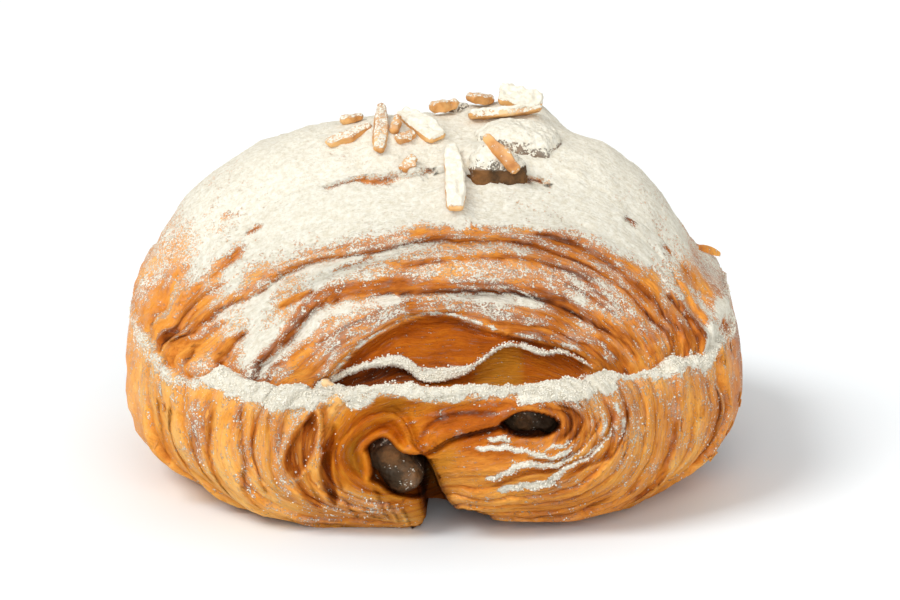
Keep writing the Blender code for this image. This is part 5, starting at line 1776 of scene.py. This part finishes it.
def crust_flakes(count, seed):
    places, facing, picked, draw = scatter(dough_fields["flaky"] ** 2, count, seed)
    row, column = picked // COLUMNS, picked % COLUMNS
    ahead = np.roll(dough_grid, -2, axis=1)[row, column] - dough_grid[row, column]
    ahead /= np.maximum(np.linalg.norm(ahead, axis=-1, keepdims=True), 1e-9)
    corners, faces, lots = [], [], []
    for place, way, out, long, wide in PLACED_FLAKES:
        lots.append((np.array(place) * MM, np.array(way), np.array(out), long * MM, wide * MM))
    for i in range(count):
        size = (draw.uniform(0.5, 1.3) * MM, draw.uniform(0.25, 0.6) * MM)
        lots.append((places[i], ahead[i], facing[i], *size))
    for place, way, out, long, wide in lots:
        out = out / np.linalg.norm(out)
        way = way - out * (way @ out)
        way /= max(np.linalg.norm(way), 1e-9)
        curl, tilt = draw.uniform(-0.25, 0.35) * MM, draw.uniform(0.1, 0.6)
        more, sides = flake_solid(place, way, out, long, wide, curl, tilt, draw)
        faces += [tuple(corner + len(corners) for corner in side) for side in sides]
        corners += more
    corners = np.array(corners)
    corners[:, 2] = np.maximum(corners[:, 2], 0.05 * MM)
    mesh = bpy.data.meshes.new("crust_flakes")
    mesh.from_pydata(corners.tolist(), [], faces)
    made = add_object("crust_flakes", mesh)
    cover, bake = 0.16 + 0.1 * swell(corners, 3 * MM, 95), 0.22 + 0.2 * swell(corners, 6 * MM, 96)
    none = np.zeros(len(corners))
    give_fields(made, cover=cover, bake=bake, crumb=none, inner=none)
    mesh.attributes.new("layer", "FLOAT", "POINT").data.foreach_set("value", corners[:, 0] / MM / 2)
    made.data.materials.append(CRUST)
    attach(made, "root")
    return made


flakes = crust_flakes(FLAKE_COUNT, 93)
print("flakes:", len(flakes.data.vertices) // 36)

# %% [markdown]
# ## A crumb of almond on the rim
# One pale crumb of almond has rolled down and stopped on the rim. It has no skin, so it is much lighter than
# the toasted slivers.

# %% Place the crumb
CRUMB_PLACE = (-19.7, 26.2)  # on the drawing of the front end


def place_at(across, up):
    """The point of the front end that shows at this place of the drawing."""
    points = ends[-1][0]
    seen_across, seen_up = drawn_place(points, -1)
    away = np.hypot(seen_across - across, seen_up - up) + 50 * (points[..., 1] > -25 * MM)
    spot = np.unravel_index(np.argmin(away), away.shape)
    return points[spot]


def almond_crumb():
    shaped = bmesh.new()
    bmesh.ops.create_icosphere(shaped, subdivisions=4, radius=1.0)
    mesh = bpy.data.meshes.new("almond_crumb")
    shaped.to_mesh(mesh)
    shaped.free()
    points = np.array([corner.co[:] for corner in mesh.vertices])
    points = points * (1 + 0.22 * swell(points, 0.9, 97, 2)[:, None]) * (1.35 * MM, 1.0 * MM, 0.95 * MM)
    points = points + place_at(*CRUMB_PLACE) + np.array([0, 0.2, 0.35]) * MM
    mesh.vertices.foreach_set("co", points.reshape(-1))
    mesh.shade_smooth()
    made = add_object("almond_crumb", mesh)
    give_fields(made, cover=0.22 + 0.12 * swell(points, 1 * MM, 98), toast=np.zeros(len(points)))
    made.data.materials.append(ALMOND)
    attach(made, "root")
    return made


print("crumb at", np.round(np.array(almond_crumb().data.vertices[0].co) / MM, 1))

# %% [markdown]
# ## Floor, light and camera
# The croissant stands on a white floor, painted a little darker and bluer near the croissant as painted
# shade that offsets the warm light bounced from the crust. One broad soft light comes from the upper left
# and a pale sky fills the shadows, as in a light tent. The camera looks from a little above the table, with
# a long lens.

# %% Floor, light and camera
LIGHTS = (  # name, where it comes from, energy, spread in degrees
    ("soft key", (-0.62, -0.42, 0.85), 1.9, 28),
    ("top fill", (0.25, 0.5, 1.0), 0.2, 50),
    ("front fill", (0.15, -1.0, 0.42), 1.38, 45),
)
SENSOR_WIDTH, CAMERA_DISTANCE, VIEW_WIDTH = 36, 1.2, 0.171
VIEW_ACROSS, VIEW_UP = 2.85, 30.2  # the middle of the view, in mm


def lay_floor():
    mesh = bpy.data.meshes.new("floor")
    mesh.from_pydata([(-4, -4, 0), (4, -4, 0), (4, 4, 0), (-4, 4, 0)], [], [(0, 1, 2, 3)])
    floor = add_object("floor", mesh)
    made, tree, shader = new_finish("white paper", 1.0)
    fibres = node(tree, "ShaderNodeTexNoise", Scale=40.0, Detail=3.0)
    # painted shade: the floor is darker and bluer within a few centimetres of the middle
    far = node(tree, "ShaderNodeVectorMath", {"operation": "LENGTH"}, i0=object_place(tree))
    away = ranged(tree, far.outputs["Value"], 0.045, 0.085)
    tone = blend_colour(tree, fibres.outputs["Fac"], (0.89, 0.925, 0.945, 1), (0.92, 0.955, 0.975, 1))
    tone = blend_colour(tree, away, (0.83, 0.895, 0.93, 1), tone)
    feed(tree, shader.inputs["Base Color"], tone)
    shader.inputs["Specular IOR Level"].default_value = 0.0
    mesh.materials.append(made)


def light_scene():
    world = bpy.data.worlds.new("pale sky")
    bpy.context.scene.world = world
    world.use_nodes = True
    world.node_tree.nodes["Background"].inputs[0].default_value = (1.0, 0.99, 0.97, 1)
    world.node_tree.nodes["Background"].inputs[1].default_value = 0.51
    for name, way, energy, spread in LIGHTS:
        sun = bpy.data.lights.new(name, "SUN")
        sun.energy = energy
        sun.angle = math.radians(spread)
        lamp = add_object(name, sun)
        lamp.rotation_euler = Vector(way).to_track_quat("Z", "Y").to_euler()


def place_camera():
    out = Vector((0, -math.cos(LOOK_DOWN), math.sin(LOOK_DOWN)))
    up = Vector((0, math.sin(LOOK_DOWN), math.cos(LOOK_DOWN)))
    target = Vector((VIEW_ACROSS * MM, 0, 0)) + up * VIEW_UP * MM
    data = bpy.data.cameras.new("camera")
    data.sensor_width = SENSOR_WIDTH
    data.lens = SENSOR_WIDTH * CAMERA_DISTANCE / VIEW_WIDTH
    camera = add_object("camera", data)
    camera.location = target + out * CAMERA_DISTANCE
    camera.rotation_euler = (-out).to_track_quat("-Z", "Y").to_euler()
    bpy.context.scene.camera = camera


lay_floor()
light_scene()
place_camera()
bpy.context.scene.view_settings.view_transform = "Standard"
print("lights:", len(LIGHTS), "camera:", CAMERA_DISTANCE, "m away, with a view", VIEW_WIDTH, "m wide")

# %% [markdown]
# ## Finish
# Last, the view layer is brought up to date.

# %% Finish
bpy.context.view_layer.update()
